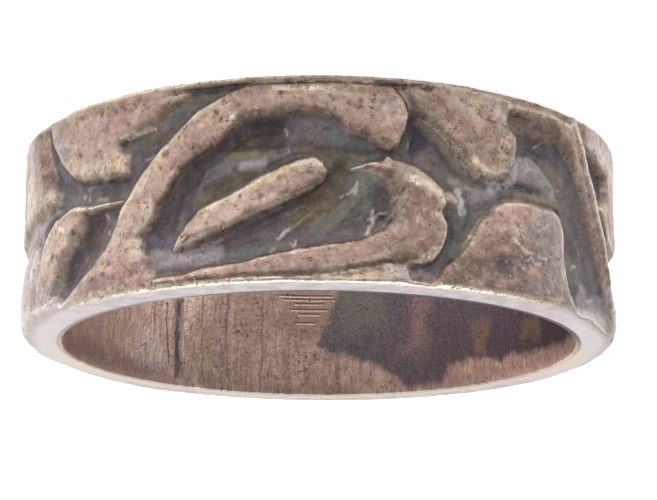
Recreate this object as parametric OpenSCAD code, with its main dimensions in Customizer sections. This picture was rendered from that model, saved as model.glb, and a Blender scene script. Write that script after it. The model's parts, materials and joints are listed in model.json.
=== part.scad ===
// Band ring with a blind relief of bars, pads and hollows round the outside.
// The ring lies on its low rim. The origin is on the bore's axis in the plane of that rim.

/* [Band] */
// Inside diameter, the finger size
bore_d = 18.2; // [14:0.1:23]
// Height of the band along the finger
band_h = 6.8; // [5:0.1:9]
// Wall thickness at the floor of the hollows
floor_wall = 0.92; // [0.7:0.02:1.6]
// How far the bars and pads stand above the hollows
relief_h = 0.56; // [0.2:0.02:0.7]
// Bevel of the outer edge of both rims
rim_bevel = 0.14; // [0.05:0.01:0.2]

/* [Relief] */
// How many times the pattern goes round the band
repeats = 2; // [2:1:3]
// Width of the slope from a hollow up to a bar or pad
slope_w = 0.42; // [0.2:0.02:0.5]
// How much the top of a bar is crowned, as a share of its height
crown = 0.12; // [0:0.02:0.3]

/* [Mesh] */
// Columns round the whole band
columns = 252; // [96:12:252]
// Rows up the band between the two bevels
rows = 21; // [10:1:21]
// Facets of the bore
bore_facets = 180; // [60:12:240]

/* [Hidden] */
metal_colour = [0.62, 0.53, 0.5];

// The relief is drawn on the unrolled band, at this height and with this length for one degree
drawn_h = 6.8;
drawn_mm_per_deg = 0.18;
drawn_turn = 180;

bore_r = bore_d / 2;
floor_r = bore_r + floor_wall;
rim_overlap = 1;

// Columns of the tables below. Angles are in degrees from the front, towards +X.
// Heights and half widths are in mm on the drawn band. A crest is a share of relief_h.
ANGLE = 0;
HEIGHT = 1;
HALF_WIDTH = 2;
CREST = 3;

// The long bar that climbs from the far rim, arches over and ends in a blunt lobe
arch_bar = [
    // angle, height, half_width, crest
    [64, 6.8, 0.1, 0.85],
    [55.5, 6.72, 0.2, 0.9],
    [48.5, 6.46, 0.32, 0.9],
    [42.5, 6.05, 0.5, 0.95],
    [37.2, 5.32, 0.7, 0.95],
    [34.3, 4.3, 0.67, 1],
    [30.7, 3.25, 0.6, 1],
    [26.6, 2.3, 0.56, 1],
    [20, 1.48, 0.6, 1],
    [14, 0.88, 0.56, 1],
    [4, 0.82, 0.54, 1],
    [-4, 0.84, 0.56, 1],
    [-8, 1.1, 0.7, 1],
    [-11, 1.58, 0.82, 0.95],
];

// The sloping foot of the arch's outer side
arch_skirt = [
    // angle, height, half_width, crest
    [39, 4.1, 0.16, 0.4],
    [43.5, 4.9, 0.24, 0.45],
    [48, 5.6, 0.24, 0.45],
    [54, 6.25, 0.12, 0.4],
];

// The short bar under the arch, pointed at one end
tongue_bar = [
    // angle, height, half_width, crest
    [26.5, 5.35, 0.1, 0.5],
    [22, 4.92, 0.34, 0.8],
    [16, 4.46, 0.46, 0.9],
    [10, 3.95, 0.56, 1],
    [4, 3.46, 0.56, 1],
    [1.2, 3.25, 0.48, 0.95],
];

// The leaf that bends round the open end of the arch and runs back along the far rim
leaf_bar = [
    // angle, height, half_width, crest
    [-7, 3.3, 0.32, 0.6],
    [-12, 3.35, 0.5, 0.85],
    [-16.5, 3.75, 0.86, 1],
    [-18.2, 4.4, 0.98, 1],
    [-17, 5.1, 0.98, 1],
    [-12, 5.6, 0.66, 1],
    [-6, 5.85, 0.46, 1],
    [0, 6.04, 0.44, 1],
    [6, 6.24, 0.32, 0.95],
    [14, 6.32, 0.28, 0.9],
    [24, 6.46, 0.24, 0.85],
    [30, 6.3, 0.4, 0.85],
    [36, 5.95, 0.7, 0.95],
];

// The curl to the left of the arch's foot
curl_bar = [
    // angle, height, half_width, crest
    [42.5, 3.74, 0.1, 0.7],
    [47.5, 3.77, 0.28, 0.9],
    [51.5, 3.92, 0.46, 1],
    [54.6, 4.1, 0.7, 1],
    [57.6, 4.83, 0.95, 1],
    [58.7, 5.4, 0.9, 0.95],
    [59.6, 5.95, 0.6, 0.8],
];

// The flank of the slanting bar on the right, low towards the big hollow
slant_flank = [
    // angle, height, half_width, crest
    [-37, 0.5, 0.24, 0.8],
    [-47, 0.55, 0.38, 0.85],
    [-53, 0.85, 0.52, 0.9],
    [-56.5, 1.6, 0.34, 0.6],
    [-59.5, 2.6, 0.34, 0.55],
    [-63.5, 3.6, 0.4, 0.55],
    [-68, 4.5, 0.45, 0.6],
    [-74, 5.4, 0.5, 0.8],
    [-80, 6.5, 0.8, 0.9],
];

// The sharp ridge along the slanting bar
slant_ridge = [
    // angle, height, half_width, crest
    [-54.8, 0.55, 0.28, 1],
    [-57, 1.1, 0.26, 1],
    [-59, 2, 0.26, 1],
    [-62, 2.8, 0.26, 1],
    [-66, 3.8, 0.26, 1],
    [-70, 4.7, 0.26, 0.9],
    [-75, 5.5, 0.4, 0.8],
    [-82, 6.4, 0.5, 0.95],
];

BARS = [arch_bar, arch_skirt, tongue_bar, leaf_bar, curl_bar, slant_flank, slant_ridge];

// Outlines of the pads, each row an angle and a height. The last row joins the first.
upper_left_pad = [
    [61, -1], [60.2, 0.35], [59.4, 0.86], [57.6, 1.35], [54.3, 2], [51.5, 2.52], [43.8, 2.7],
    [36.9, 2.8], [37.1, 2.28], [38.6, 1.7], [31.2, 1.43], [26.5, 0.95], [25.2, 0.4], [25, -1],
];
upper_right_pad = [
    [-13.4, -1], [-14.4, 0.5], [-18, 1.4], [-23, 1.9], [-27, 2.4], [-29.5, 3.04],
    [-34.5, 3.04], [-33.6, 2], [-34.6, 1.2], [-37, -1],
];
upper_right_skirt = [
    [-14, 0.5], [-16.8, 1.35], [-21.5, 2.25], [-26.5, 3.08], [-29.5, 3.2], [-29, 2.4], [-20, 1],
];
low_plate = [
    [-33.5, 3.1], [-34, 2.2], [-39, 2.05], [-43, 2], [-47.5, 2.75], [-46, 2.98],
];
lower_right_pad = [
    [-19.5, 7.8], [-21.5, 6.2], [-25, 5.6], [-28.2, 4.7], [-31.6, 3.95], [-37, 3.54],
    [-48, 3.48], [-49.8, 3.6], [-50.6, 3.9], [-50.5, 4.8], [-52.1, 5.6], [-54.4, 6.2],
    [-57.4, 6.6], [-58, 7.8],
];
side_upper_pad = [
    [-57.8, -1], [-58, 0.4], [-60.3, 1.05], [-67, 1.2], [-70, 1.4], [-70.5, 2.1],
    [-65.6, 2.65], [-68.1, 3.31], [-70.1, 3.83], [-74, 4], [-82, 3.9], [-104, 3.5],
    [-118, 3.3], [-121.5, 3], [-118.7, 1.93], [-116.7, 1.08], [-115.8, -1],
];
side_lower_pad = [
    [-88, 7.8], [-84, 5.4], [-88, 5], [-99, 4.75], [-108, 4.15], [-113.5, 3.9],
    [-113.2, 4.6], [-114.2, 5.6], [-114, 7.8],
];

// Each pad with its crest, as a share of relief_h
PADS = [
    [upper_left_pad, 0.95],
    [upper_right_pad, 0.95],
    [upper_right_skirt, 0.45],
    [low_plate, 0.45],
    [lower_right_pad, 0.9],
    [side_upper_pad, 0.85],
    [side_lower_pad, 0.95],
];
OUTLINE = 0;
PAD_CREST = 1;

// Thin lips along the rims, as shares of relief_h by angle. They also hold down what comes near a rim.
lips = [
    // angle, low_lip, far_lip
    [90, 0.8, 0.9],
    [72, 0.8, 0.9],
    [66, 0.8, 0.7],
    [60, 0.8, 0.85],
    [0, 0.8, 0.85],
    [-10, 0.8, 0.5],
    [-18, 0.8, 0.3],
    [-58, 0.8, 0.3],
    [-68, 0.8, 0.35],
    [-76, 0.8, 0.9],
    [-90, 0.8, 0.9],
];
LOW_LIP = 1;
FAR_LIP = 2;
low_lip_h = 0.3;
far_lip_h = 0.28;
// Share of relief_h that the relief gains for each mm away from a rim
rim_climb = 1.4;

// Shallow dents: angle, height, radius and depth, the depth as a share of relief_h
dents = [
    // angle, height, radius, depth
    [-37, 5.75, 0.75, 0.4],
    [-11, 4.5, 0.5, 0.45],
    [49, 5.5, 0.8, 0.3],
];
RADIUS = 2;
DEPTH = 3;

function clamp(v, low, high) = max(low, min(high, v));
function smooth(t) = let (u = clamp(t, 0, 1)) u * u * (3 - 2 * u);
function mix(v0, v1, t) = v0 + (v1 - v0) * t;
function unrolled(row) = [row[ANGLE] * drawn_mm_per_deg, row[HEIGHT]];

// Rise from a hollow's floor, 0, to the top, 1, by the distance inside an outline
function rise(inside_by) = smooth(inside_by / slope_w + 0.5);

// One link of a bar between two stations
function link_at(p, s0, s1) =
    let (
        p0 = unrolled(s0),
        along = unrolled(s1) - p0,
        t = clamp((p - p0) * along / (along * along), 0, 1),
        off = norm(p - p0 - t * along),
        half_width = mix(s0[HALF_WIDTH], s1[HALF_WIDTH], t),
        crest = mix(s0[CREST], s1[CREST], t)
    )
    crest * rise(half_width - off) * (1 - crown * pow(min(1, off / half_width), 2));

function bar_at(p, bar) = max([for (i = [1 : len(bar) - 1]) link_at(p, bar[i - 1], bar[i])]);

function edge_distance(p, p0, p1) =
    let (along = p1 - p0)
    norm(p - p0 - clamp((p - p0) * along / (along * along), 0, 1) * along);

// True where the edge from p0 to p1 passes over the point, for the count of crossings
function passes_over(p, p0, p1) =
    (p0[0] > p[0]) != (p1[0] > p[0])
    && p[1] < mix(p0[1], p1[1], (p[0] - p0[0]) / (p1[0] - p0[0]));

function pad_at(p, pad) =
    let (
        pts = [for (row = pad[OUTLINE]) unrolled(row)],
        n = len(pts),
        near = min([for (i = [0 : n - 1]) edge_distance(p, pts[i], pts[(i + 1) % n])]),
        crossings = len([for (i = [0 : n - 1]) if (passes_over(p, pts[i], pts[(i + 1) % n])) i])
    )
    pad[PAD_CREST] * rise(crossings % 2 == 1 ? near : -near);

function lip_at(angle, column) = lookup(angle, [for (row = lips) [row[ANGLE], row[column]]]);
function low_lip_at(angle, height) = lip_at(angle, LOW_LIP) * rise(low_lip_h - height);
function far_lip_at(angle, height) = lip_at(angle, FAR_LIP) * rise(height - (drawn_h - far_lip_h));

function dent_at(p, dent) =
    dent[DEPTH] * smooth(1 - norm(p - unrolled(dent)) / dent[RADIUS]);

// Forms near enough to an angle to count there
function low_angle(table) = min([for (row = table) row[ANGLE]]);
function high_angle(table) = max([for (row = table) row[ANGLE]]);
reach = 8;
function is_near(angle, table) = angle > low_angle(table) - reach && angle < high_angle(table) + reach;

// Relief height at a place on the drawn band, as a share of relief_h
function group_at(angle, height) =
    let (p = unrolled([angle, height]))
    max(concat(
        [0],
        [for (bar = BARS) if (is_near(angle, bar)) bar_at(p, bar)],
        [for (pad = PADS) if (is_near(angle, pad[OUTLINE])) pad_at(p, pad)]
    ));
function dents_at(angle, height) =
    let (p = unrolled([angle, height]))
    max([for (dent = dents) dent_at(p, dent)]);
// The highest that the relief may stand this near to a rim
function limit_at(angle, height) = min(
    lip_at(angle, LOW_LIP) + rim_climb * height,
    lip_at(angle, FAR_LIP) + rim_climb * (drawn_h - height)
);
function share_at(angle, height) =
    let (
        highest = max([
            group_at(angle, height),
            group_at(angle - drawn_turn, height),
            low_lip_at(angle, height),
            far_lip_at(angle, height),
        ])
    )
    max(0, min(highest, limit_at(angle, height)) - dents_at(angle, height));

// Heights of the rows on the drawn band, with one row at each end of both bevels
drawn_bevel = rim_bevel * drawn_h / band_h;
row_heights = concat(
    [0],
    [for (i = [0 : rows - 1]) mix(drawn_bevel, drawn_h - drawn_bevel, i / (rows - 1))],
    [drawn_h]
);
row_count = len(row_heights);
repeat_columns = columns / repeats;

// Relief of one repeat, from which all the repeats are copied
share_table = [
    for (c = [0 : repeat_columns - 1])
    let (angle = drawn_turn * (0.5 - c / repeat_columns))
    [for (height = row_heights) share_at(angle, height)]
];

function bevel_at(row) = row == 0 || row == row_count - 1 ? rim_bevel : 0;
function radius_at(c, row) = floor_r + relief_h * share_table[c % repeat_columns][row] - bevel_at(row);
function point_at(c, row) =
    let (
        angle = 90 - 360 * c / columns,
        r = radius_at(c, row)
    )
    [r * sin(angle), -r * cos(angle), row_heights[row] * band_h / drawn_h];

// The two triangles of one cell, split along the diagonal that changes height least
function cell(c, row) =
    let (
        next = (c + 1) % columns,
        a = c * row_count + row,
        b = next * row_count + row,
        rise_up = abs(radius_at(c, row) - radius_at(next, row + 1)),
        rise_down = abs(radius_at(next, row) - radius_at(c, row + 1))
    )
    rise_up < rise_down
    ? [[a, b, b + 1], [a, b + 1, a + 1]]
    : [[a, b, a + 1], [b, b + 1, a + 1]];

// A closed drum whose side carries the relief
module relief_drum() {
    points = [for (c = [0 : columns - 1]) for (row = [0 : row_count - 1]) point_at(c, row)];
    side = [for (c = [0 : columns - 1]) for (row = [0 : row_count - 2]) each cell(c, row)];
    low_cap = [for (c = [columns - 1 : -1 : 0]) c * row_count];
    far_cap = [for (c = [0 : columns - 1]) c * row_count + row_count - 1];
    polyhedron(points = points, faces = concat(side, [low_cap], [far_cap]), convexity = 6);
}

module band() {
    color(metal_colour)
    difference() {
        relief_drum();
        translate([0, 0, -rim_overlap])
        cylinder(r = bore_r, h = band_h + 2 * rim_overlap, $fn = bore_facets);
    }
}

band();
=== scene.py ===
"""Looks of the band ring: one fine mesh for the cast relief, oxidised hollows and worn edges, with painted
highlight and shade in places, on a pale glowing floor under soft light. Sizes are in millimetres until a mesh
or an object is made."""

import json
import math

import bpy
import numpy as np
from mathutils import Matrix, Vector


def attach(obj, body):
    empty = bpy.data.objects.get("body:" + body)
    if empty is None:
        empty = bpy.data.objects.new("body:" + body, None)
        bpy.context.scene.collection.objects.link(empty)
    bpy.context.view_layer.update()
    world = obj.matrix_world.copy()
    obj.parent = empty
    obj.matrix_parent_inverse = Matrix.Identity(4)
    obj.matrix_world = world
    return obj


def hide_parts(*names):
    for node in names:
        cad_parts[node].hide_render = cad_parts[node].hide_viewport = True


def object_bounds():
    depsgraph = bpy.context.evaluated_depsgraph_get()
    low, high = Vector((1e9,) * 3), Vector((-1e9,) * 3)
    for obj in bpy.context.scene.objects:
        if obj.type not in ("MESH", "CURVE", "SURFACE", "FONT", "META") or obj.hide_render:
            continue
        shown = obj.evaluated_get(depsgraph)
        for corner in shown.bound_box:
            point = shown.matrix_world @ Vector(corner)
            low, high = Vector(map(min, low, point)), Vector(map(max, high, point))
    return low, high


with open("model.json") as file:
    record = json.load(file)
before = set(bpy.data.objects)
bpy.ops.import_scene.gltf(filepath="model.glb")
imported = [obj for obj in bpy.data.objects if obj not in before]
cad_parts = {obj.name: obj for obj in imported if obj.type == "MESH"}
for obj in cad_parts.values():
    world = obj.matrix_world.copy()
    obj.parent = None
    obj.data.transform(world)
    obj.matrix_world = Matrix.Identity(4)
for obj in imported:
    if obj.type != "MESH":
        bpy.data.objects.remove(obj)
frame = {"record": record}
cad_low, cad_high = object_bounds()

MM = 0.001

# Real sizes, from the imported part
MOUNTS = {mount["name"]: mount for mount in frame["record"]["mounts"]}
BORE_R = MOUNTS["finger_hole"]["dims"]["r_mm"]
BAND_H = (cad_high.z - cad_low.z) / MM
HALF_X = cad_high.x / MM
HALF_Y = cad_high.y / MM

# Wall at the floor of the hollows, and how far the relief stands above it
FLOOR_WALL = 0.99
RELIEF_H = 0.49
FLOOR_R = BORE_R + FLOOR_WALL

# The relief is drawn on the unrolled band. Angles are in degrees from the front, towards +X,
# and one degree is this long. The drawn group comes twice round the band.
MM_PER_DEG = 0.18
HALF_TURN = 180.0
TURN_MM = 2 * HALF_TURN * MM_PER_DEG

# How far a pad's rounding reaches in from its edge and how much it drops there, and how much
# a bar is crowned on each side of its run
PAD_ROUND = 0.5
PAD_DROP = 0.18
LEFT_CROWN = 0.42
RIGHT_CROWN = 0.2
# The floors of the hollows rise softly towards the walls: the blur's width in mm and its share
FILLET_W = 0.3
FILLET_SHARE = 0.75

# Each bar has the width of its slope to the left and to the right of its run, then stations:
# angle, height, half width and crest. A crest is a share of RELIEF_H.
BARS = {
    "curl_lip": (0.2, 0.2, [(38.8, 3.64, 0.08, 0.6), (44, 3.6, 0.12, 0.75), (49, 3.62, 0.2, 0.9)]),
    "slant_flank": (1.2, 0.3, [
        (-37, 0.4, 0.3, 0.8), (-47, 0.45, 0.46, 0.85), (-53, 0.8, 0.6, 0.9), (-57, 1.6, 0.4, 0.75),
        (-60, 2.4, 0.4, 0.72), (-64, 3.3, 0.46, 0.72), (-69, 4.4, 0.5, 0.72), (-74, 5.4, 0.5, 0.8),
        (-80, 6.5, 0.8, 0.9),
    ]),
    "slant_ridge": (0.5, 0.24, [
        (-54.8, 0.3, 0.34, 1), (-57.4, 1, 0.3, 1), (-59.6, 1.75, 0.28, 1), (-62.9, 2.6, 0.28, 1),
        (-66.8, 3.6, 0.28, 1), (-70.5, 4.5, 0.26, 0.95), (-75, 5.4, 0.4, 0.85), (-82, 6.4, 0.5, 0.95),
    ]),
}

# Each pad is a crest, the width of the slope up to it, and an outline of angles and heights.
# A third number is the slope's width from there to the next point.
PADS = {
    "arch": (1.0, 0.22, [
        (60, 7.5), (56, 6.6), (53, 6.42), (49, 6.02), (45, 5.55), (41.2, 4.95), (39.6, 4.5), (38.2, 3.9),
        (36.2, 3.4), (33.2, 2.7), (30, 2.12), (26, 1.52), (22, 0.98), (18, 0.64), (15, 0.4), (11, 0.16),
        (-9, 0.14), (-13, 0.3), (-14.9, 0.66), (-16.2, 1.3, 0.3), (-15.6, 1.8, 0.26), (-14.2, 2.38, 0.2),
        (-12, 2.52, 0.2), (-9.6, 2.36, 0.24), (-8, 2.08), (-4.6, 1.98, 0.4), (-3.2, 1.62, 0.4),
        (-1, 1.36, 0.3), (4, 1.24), (10, 1.3, 0.3), (13.4, 1.42, 0.34), (15.6, 1.8, 0.34), (17.4, 2.2, 0.3),
        (22, 2.56), (25, 2.95), (28, 3.7), (29.8, 4), (30.6, 4.5), (33, 5, 0.3), (32.4, 5.5, 0.5),
        (30.6, 6.1, 0.6), (29.5, 7.5),
    ]),
    "arch_bridge": (0.5, 0.3, [(-11, -1), (-13, 0.5), (-15.4, 1.1), (-17.2, 1.1), (-16, 0.3), (-16, -1)]),
    "tongue": (0.98, 0.22, [
        (27.2, 5.6), (26, 5.08), (24, 4.68), (22, 4.36), (18, 4.02), (13, 3.58), (10, 3.3), (7, 2.98),
        (4, 2.74), (1, 2.66), (-0.6, 2.82), (-1.9, 3.18), (-0.6, 3.6), (2, 3.92, 0.34), (6, 4.3, 0.42),
        (11, 4.7, 0.5), (16, 5.1, 0.54), (21, 5.42, 0.54), (24.5, 5.6, 0.4),
    ]),
    "leaf": (1.0, 0.22, [
        (-5.3, 3.12), (-8, 2.92), (-10.6, 2.82), (-11.9, 2.62), (-13.2, 2.74), (-17, 2.86), (-19.5, 3.1),
        (-22.8, 3.6), (-23.2, 4.1), (-22.2, 4.36), (-23.3, 4.72), (-22.9, 5.1), (-21.6, 5.65), (-20.4, 5.98),
        (-17, 6.14), (-12, 6.3), (-5, 6.6), (2, 6.76), (12, 6.9), (31, 6.9), (31, 6.3, 0.4), (24, 6.26, 0.36),
        (18, 6.1, 0.3), (12, 5.94, 0.3), (6, 5.74, 0.3), (0, 5.52, 0.3), (-4, 5.42, 0.34), (-8, 5.24, 0.4),
        (-11, 4.96, 0.5), (-12.6, 4.5, 0.7), (-12.8, 3.9, 0.9), (-11.6, 3.4, 0.8), (-8.6, 3.2, 0.5),
    ]),
    "far_shelf": (0.86, 0.3, [
        (0, 6.5), (-5, 6.4), (-9, 6.26), (-12.6, 6.06), (-15.6, 6.1), (-16.6, 6.5), (-17, 7.5), (0, 7.5),
    ]),
    "leaf_facet": (0.75, 0.14, [(-22.4, 3.62), (-24, 3.52), (-25.9, 3.82), (-24.7, 4.22), (-22.8, 4)]),
    "curl": (0.95, 0.26, [
        (48, 3.46), (52, 3.36), (55, 3.4), (58, 3.56), (60.6, 3.9), (63.6, 4.36), (65, 4.9), (66, 5.4),
        (67, 6.4), (60, 6.5), (57, 6.16, 0.6), (55, 5.6, 0.7), (53, 5, 0.6), (51, 4.6, 0.3), (48.5, 4.2),
        (47, 3.8),
    ]),
    "left_foot": (0.85, 0.5, [
        (54, 6.5), (58, 6.15), (63, 5.6), (64.6, 4.8), (68, 4.5), (76, 4.6), (84, 4.8), (84, 7.5), (54, 7.5),
    ]),
    "upper_left": (0.95, 0.24, [
        (61.4, -1), (60.8, 0.3), (59.9, 0.9), (57.6, 1.42), (54.6, 1.98), (51.6, 2.46), (50, 2.6),
        (42, 2.77), (37.1, 2.87), (36.9, 2.1), (38.6, 1.84), (38.4, 1.66), (36, 1.56), (33.6, 1.42, 0.6),
        (30.6, 1.3, 0.8), (27.8, 1.0, 0.8), (25.3, 0.76, 0.6), (24.2, 0.4, 0.3), (24.2, -1),
    ]),
    "upper_right": (0.95, 0.22, [
        (-14.6, -1), (-15.2, 0.4), (-17.2, 1), (-18.8, 1.25), (-21.5, 1.7), (-23.6, 2.06), (-26.4, 2.56),
        (-29, 3.08), (-34, 3.02, 0.7), (-34.4, 2.2, 0.7), (-34.6, 1.1, 0.7), (-36.5, 0.5, 0.4), (-37.5, -1),
    ]),
    "fragments": (0.84, 0.3, [
        (-32, -1), (-32, 3.02), (-35, 3.02), (-36.6, 2.7), (-38, 2.2), (-39, 1.7), (-38.6, 1.3),
        (-36.8, 1.04), (-36.4, 0.84), (-37.4, 0.5), (-38.5, -1),
    ]),
    "lower_right": (0.92, 0.26, [
        (-19.5, 7.8), (-20.6, 6.45), (-23, 5.86), (-26, 5.44), (-27.8, 4.95), (-29.5, 4.44), (-31.4, 4.12),
        (-35, 3.66), (-39, 3.52), (-48.2, 3.46), (-50.2, 3.66), (-50.9, 4), (-50.9, 5.1), (-51.8, 5.7),
        (-53, 6.15), (-54.6, 6.48), (-58, 6.75), (-59, 7.8),
    ]),
    "side_upper": (0.95, 0.4, [
        (-57.8, -1), (-58, 0.4), (-59.6, 1), (-63, 1.05), (-67, 1.4), (-70, 1.5), (-70.5, 2.1),
        (-65.6, 2.65), (-68.1, 3.31), (-70.1, 3.83), (-74, 4), (-82, 3.9, 0.7), (-104, 3.5, 1.0),
        (-118, 3.3, 0.8), (-121.5, 3, 0.6), (-118.7, 1.93, 0.8), (-117, 1.08, 0.8), (-115.8, -1),
    ]),
    "side_lower": (0.95, 0.4, [
        (-88, 7.8), (-84, 5.4), (-88, 5), (-99, 4.75), (-108, 4.15), (-113.5, 3.9),
        (-113.2, 4.6), (-114.2, 5.6), (-114, 7.8),
    ]),
}

# Low shelves in the hollows, in the same form. They keep the tarnish of the hollows.
SHELVES = {
    "basin": (0.26, 0.8, [
        (22, 2.9), (17, 2.0), (12, 1.5), (0, 1.3), (-9, 2.0), (-12, 2.6), (-12, 4.4), (-8, 5.2), (0, 5.5),
        (14, 5.9), (29, 6.2), (29, 5.4), (24, 5.2), (20, 4.6),
    ]),
    "right_fill": (0.42, 0.6, [(-35, 2.6), (-37, 1.9), (-45, 2.0), (-51, 2.7), (-51.4, 3.7), (-34, 3.7)]),
    "under_lobe": (0.42, 0.6, [(8, 1.3), (0, 1.2), (-5, 1.7), (-12, 2.2), (-12, 2.5), (6, 2.42)]),
    "leaf_dish": (0.62, 0.9, [
        (-4.6, 3.1), (-9, 2.8), (-12.6, 2.7), (-13, 3.9), (-9.6, 4.0), (-7.6, 4.3), (-4.6, 4.9), (-2, 5),
        (-5.4, 4),
    ]),
    "left_recess": (0.3, 0.5, [(38.5, 2.9), (39, 1.5), (31, 1.2), (29.5, 1.9), (33, 2.9), (36, 3.5)]),
    "upper_left_skirt": (0.5, 0.8, [
        (37, 1.5), (31, 1.1), (27, 0.7), (24.2, 0.6), (24.4, 0.95), (28, 1.7), (33, 2.3),
    ]),
    "upper_right_skirt": (0.46, 0.36, [
        (-16.6, 0.9), (-18, 1.34), (-19.5, 1.72), (-21.4, 2.16), (-23.4, 2.56), (-26, 3.06),
        (-28.6, 3.2), (-30, 3.0), (-27.4, 2.2), (-22, 1.4),
    ]),
    "groove_floor": (0.2, 0.3, [
        (-17.5, 2.6), (-19.5, 2.3), (-22, 2.7), (-25.5, 3.2), (-29.5, 3.3), (-28, 3.7), (-24, 3.55),
        (-21, 3.2),
    ]),
    "groove_block": (0.42, 0.14, [
        (-24, 4.4), (-24.4, 5), (-25, 5.16), (-26.7, 5.16), (-27.4, 4.4), (-28.3, 3.6), (-26.2, 3.66),
    ]),
    "groove_shelf": (0.4, 0.16, [
        (-27, 3.3), (-28.6, 3.22), (-31, 3.1), (-35, 3.1), (-34, 3.5), (-31, 3.95), (-29, 4.2), (-28.6, 3.6),
    ]),
    "low_plate": (0.6, 0.4, [
        (-34.4, 3.04), (-36, 2.3), (-37.6, 1.94), (-41.4, 1.84), (-44.9, 2.0, 0.4), (-47.1, 2.42, 0.5),
        (-50, 2.8), (-46, 3.0), (-43, 3.06), (-40, 3.0), (-37, 3.08),
    ]),
    "plate_ledge": (0.52, 0.3, [
        (-34.4, 3.3), (-37, 3.16), (-40, 3.08), (-43, 3.14), (-50.4, 3.1), (-51, 3.5), (-40, 3.6), (-35, 3.7),
    ]),
    "low_channel": (0.5, 0.7, [
        (-16, 6.3), (-20.4, 5.8), (-22.6, 5.5), (-24.4, 5.8), (-22, 6.4), (-21, 7.8), (-16, 7.8),
    ]),
    "left_shoulder": (0.55, 0.7, [(-92, 3.3), (-119, 3.1), (-121, 4.1), (-112, 4.6), (-96, 5), (-92, 5)]),
}

# Thin lips along the rims: angle, share of RELIEF_H at the low rim and at the far rim
LIPS = [
    (90, 0.8, 0.9), (72, 0.8, 0.9), (66, 0.8, 0.7), (60, 0.8, 0.85), (0, 0.8, 0.85), (-10, 0.8, 0.8),
    (-18, 0.8, 0.75), (-40, 0.8, 0.8), (-58, 0.8, 0.6), (-68, 0.8, 0.5), (-76, 0.8, 0.9), (-90, 0.8, 0.9),
]
LIP_SLOPE_W = 0.24
LOW_LIP_H = 0.2
FAR_LIP_H = 0.2
RIM_CLIMB = 1.4

# Swells (above 0) and dips (below 0): angle, height, half length, half width,
# lean of the length towards the far rim in degrees, rise as a share of RELIEF_H
SWELLS = [
    (90, 2.5, 1.5, 1.4, 0, -0.2), (89, 4.4, 1.0, 0.6, 0, 0.22),
    (3, 2.1, 0.62, 0.3, 0, 0.16), (4.6, 1.6, 0.2, 0.14, 20, -0.2), (0.8, 1.68, 0.16, 0.09, 0, -0.2),
    (-1.2, 1.8, 0.3, 0.07, 10, -0.18), (-16.2, 2.15, 0.1, 0.16, 0, 0.25), (11, 2.95, 0.55, 0.3, 20, 0.14),
    (26, 5.85, 1.2, 0.42, 5, 0.3), (-7.2, 4.2, 0.75, 1.1, 15, 0.3),
    (-9.4, 4.5, 0.12, 0.12, 0, 0.2), (-9.4, 4.76, 0.09, 0.16, 0, 0.2), (-8.5, 5.1, 0.09, 0.24, 25, 0.2),
    (-11.2, 4.62, 0.36, 0.12, -30, -0.3),
    (-39.4, 5.54, 0.24, 0.12, 30, -0.14), (-43.5, 5.3, 0.3, 0.2, 0, 0.06),
    (-45, 1.4, 1.3, 0.42, 0, -0.3), (-57, 4.6, 0.6, 1.3, 0, -0.2), (50, 4.4, 0.6, 0.3, 30, -0.3),
    (-35.2, 1.1, 0.18, 0.1, 30, 0.16), (-36.4, 1.5, 0.14, 0.16, 0, 0.18), (-35.6, 1.95, 0.2, 0.1, -20, 0.16),
    (-37.4, 1.8, 0.1, 0.14, 0, 0.14), (-36.2, 2.4, 0.2, 0.14, 20, 0.14), (-35, 2.66, 0.14, 0.12, 0, 0.14),
    (-37.6, 2.66, 0.16, 0.12, 0, 0.12), (-40, 2.3, 0.2, 0.08, 15, 0.12), (-42.5, 2.62, 0.24, 0.1, 20, 0.1),
]

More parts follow.
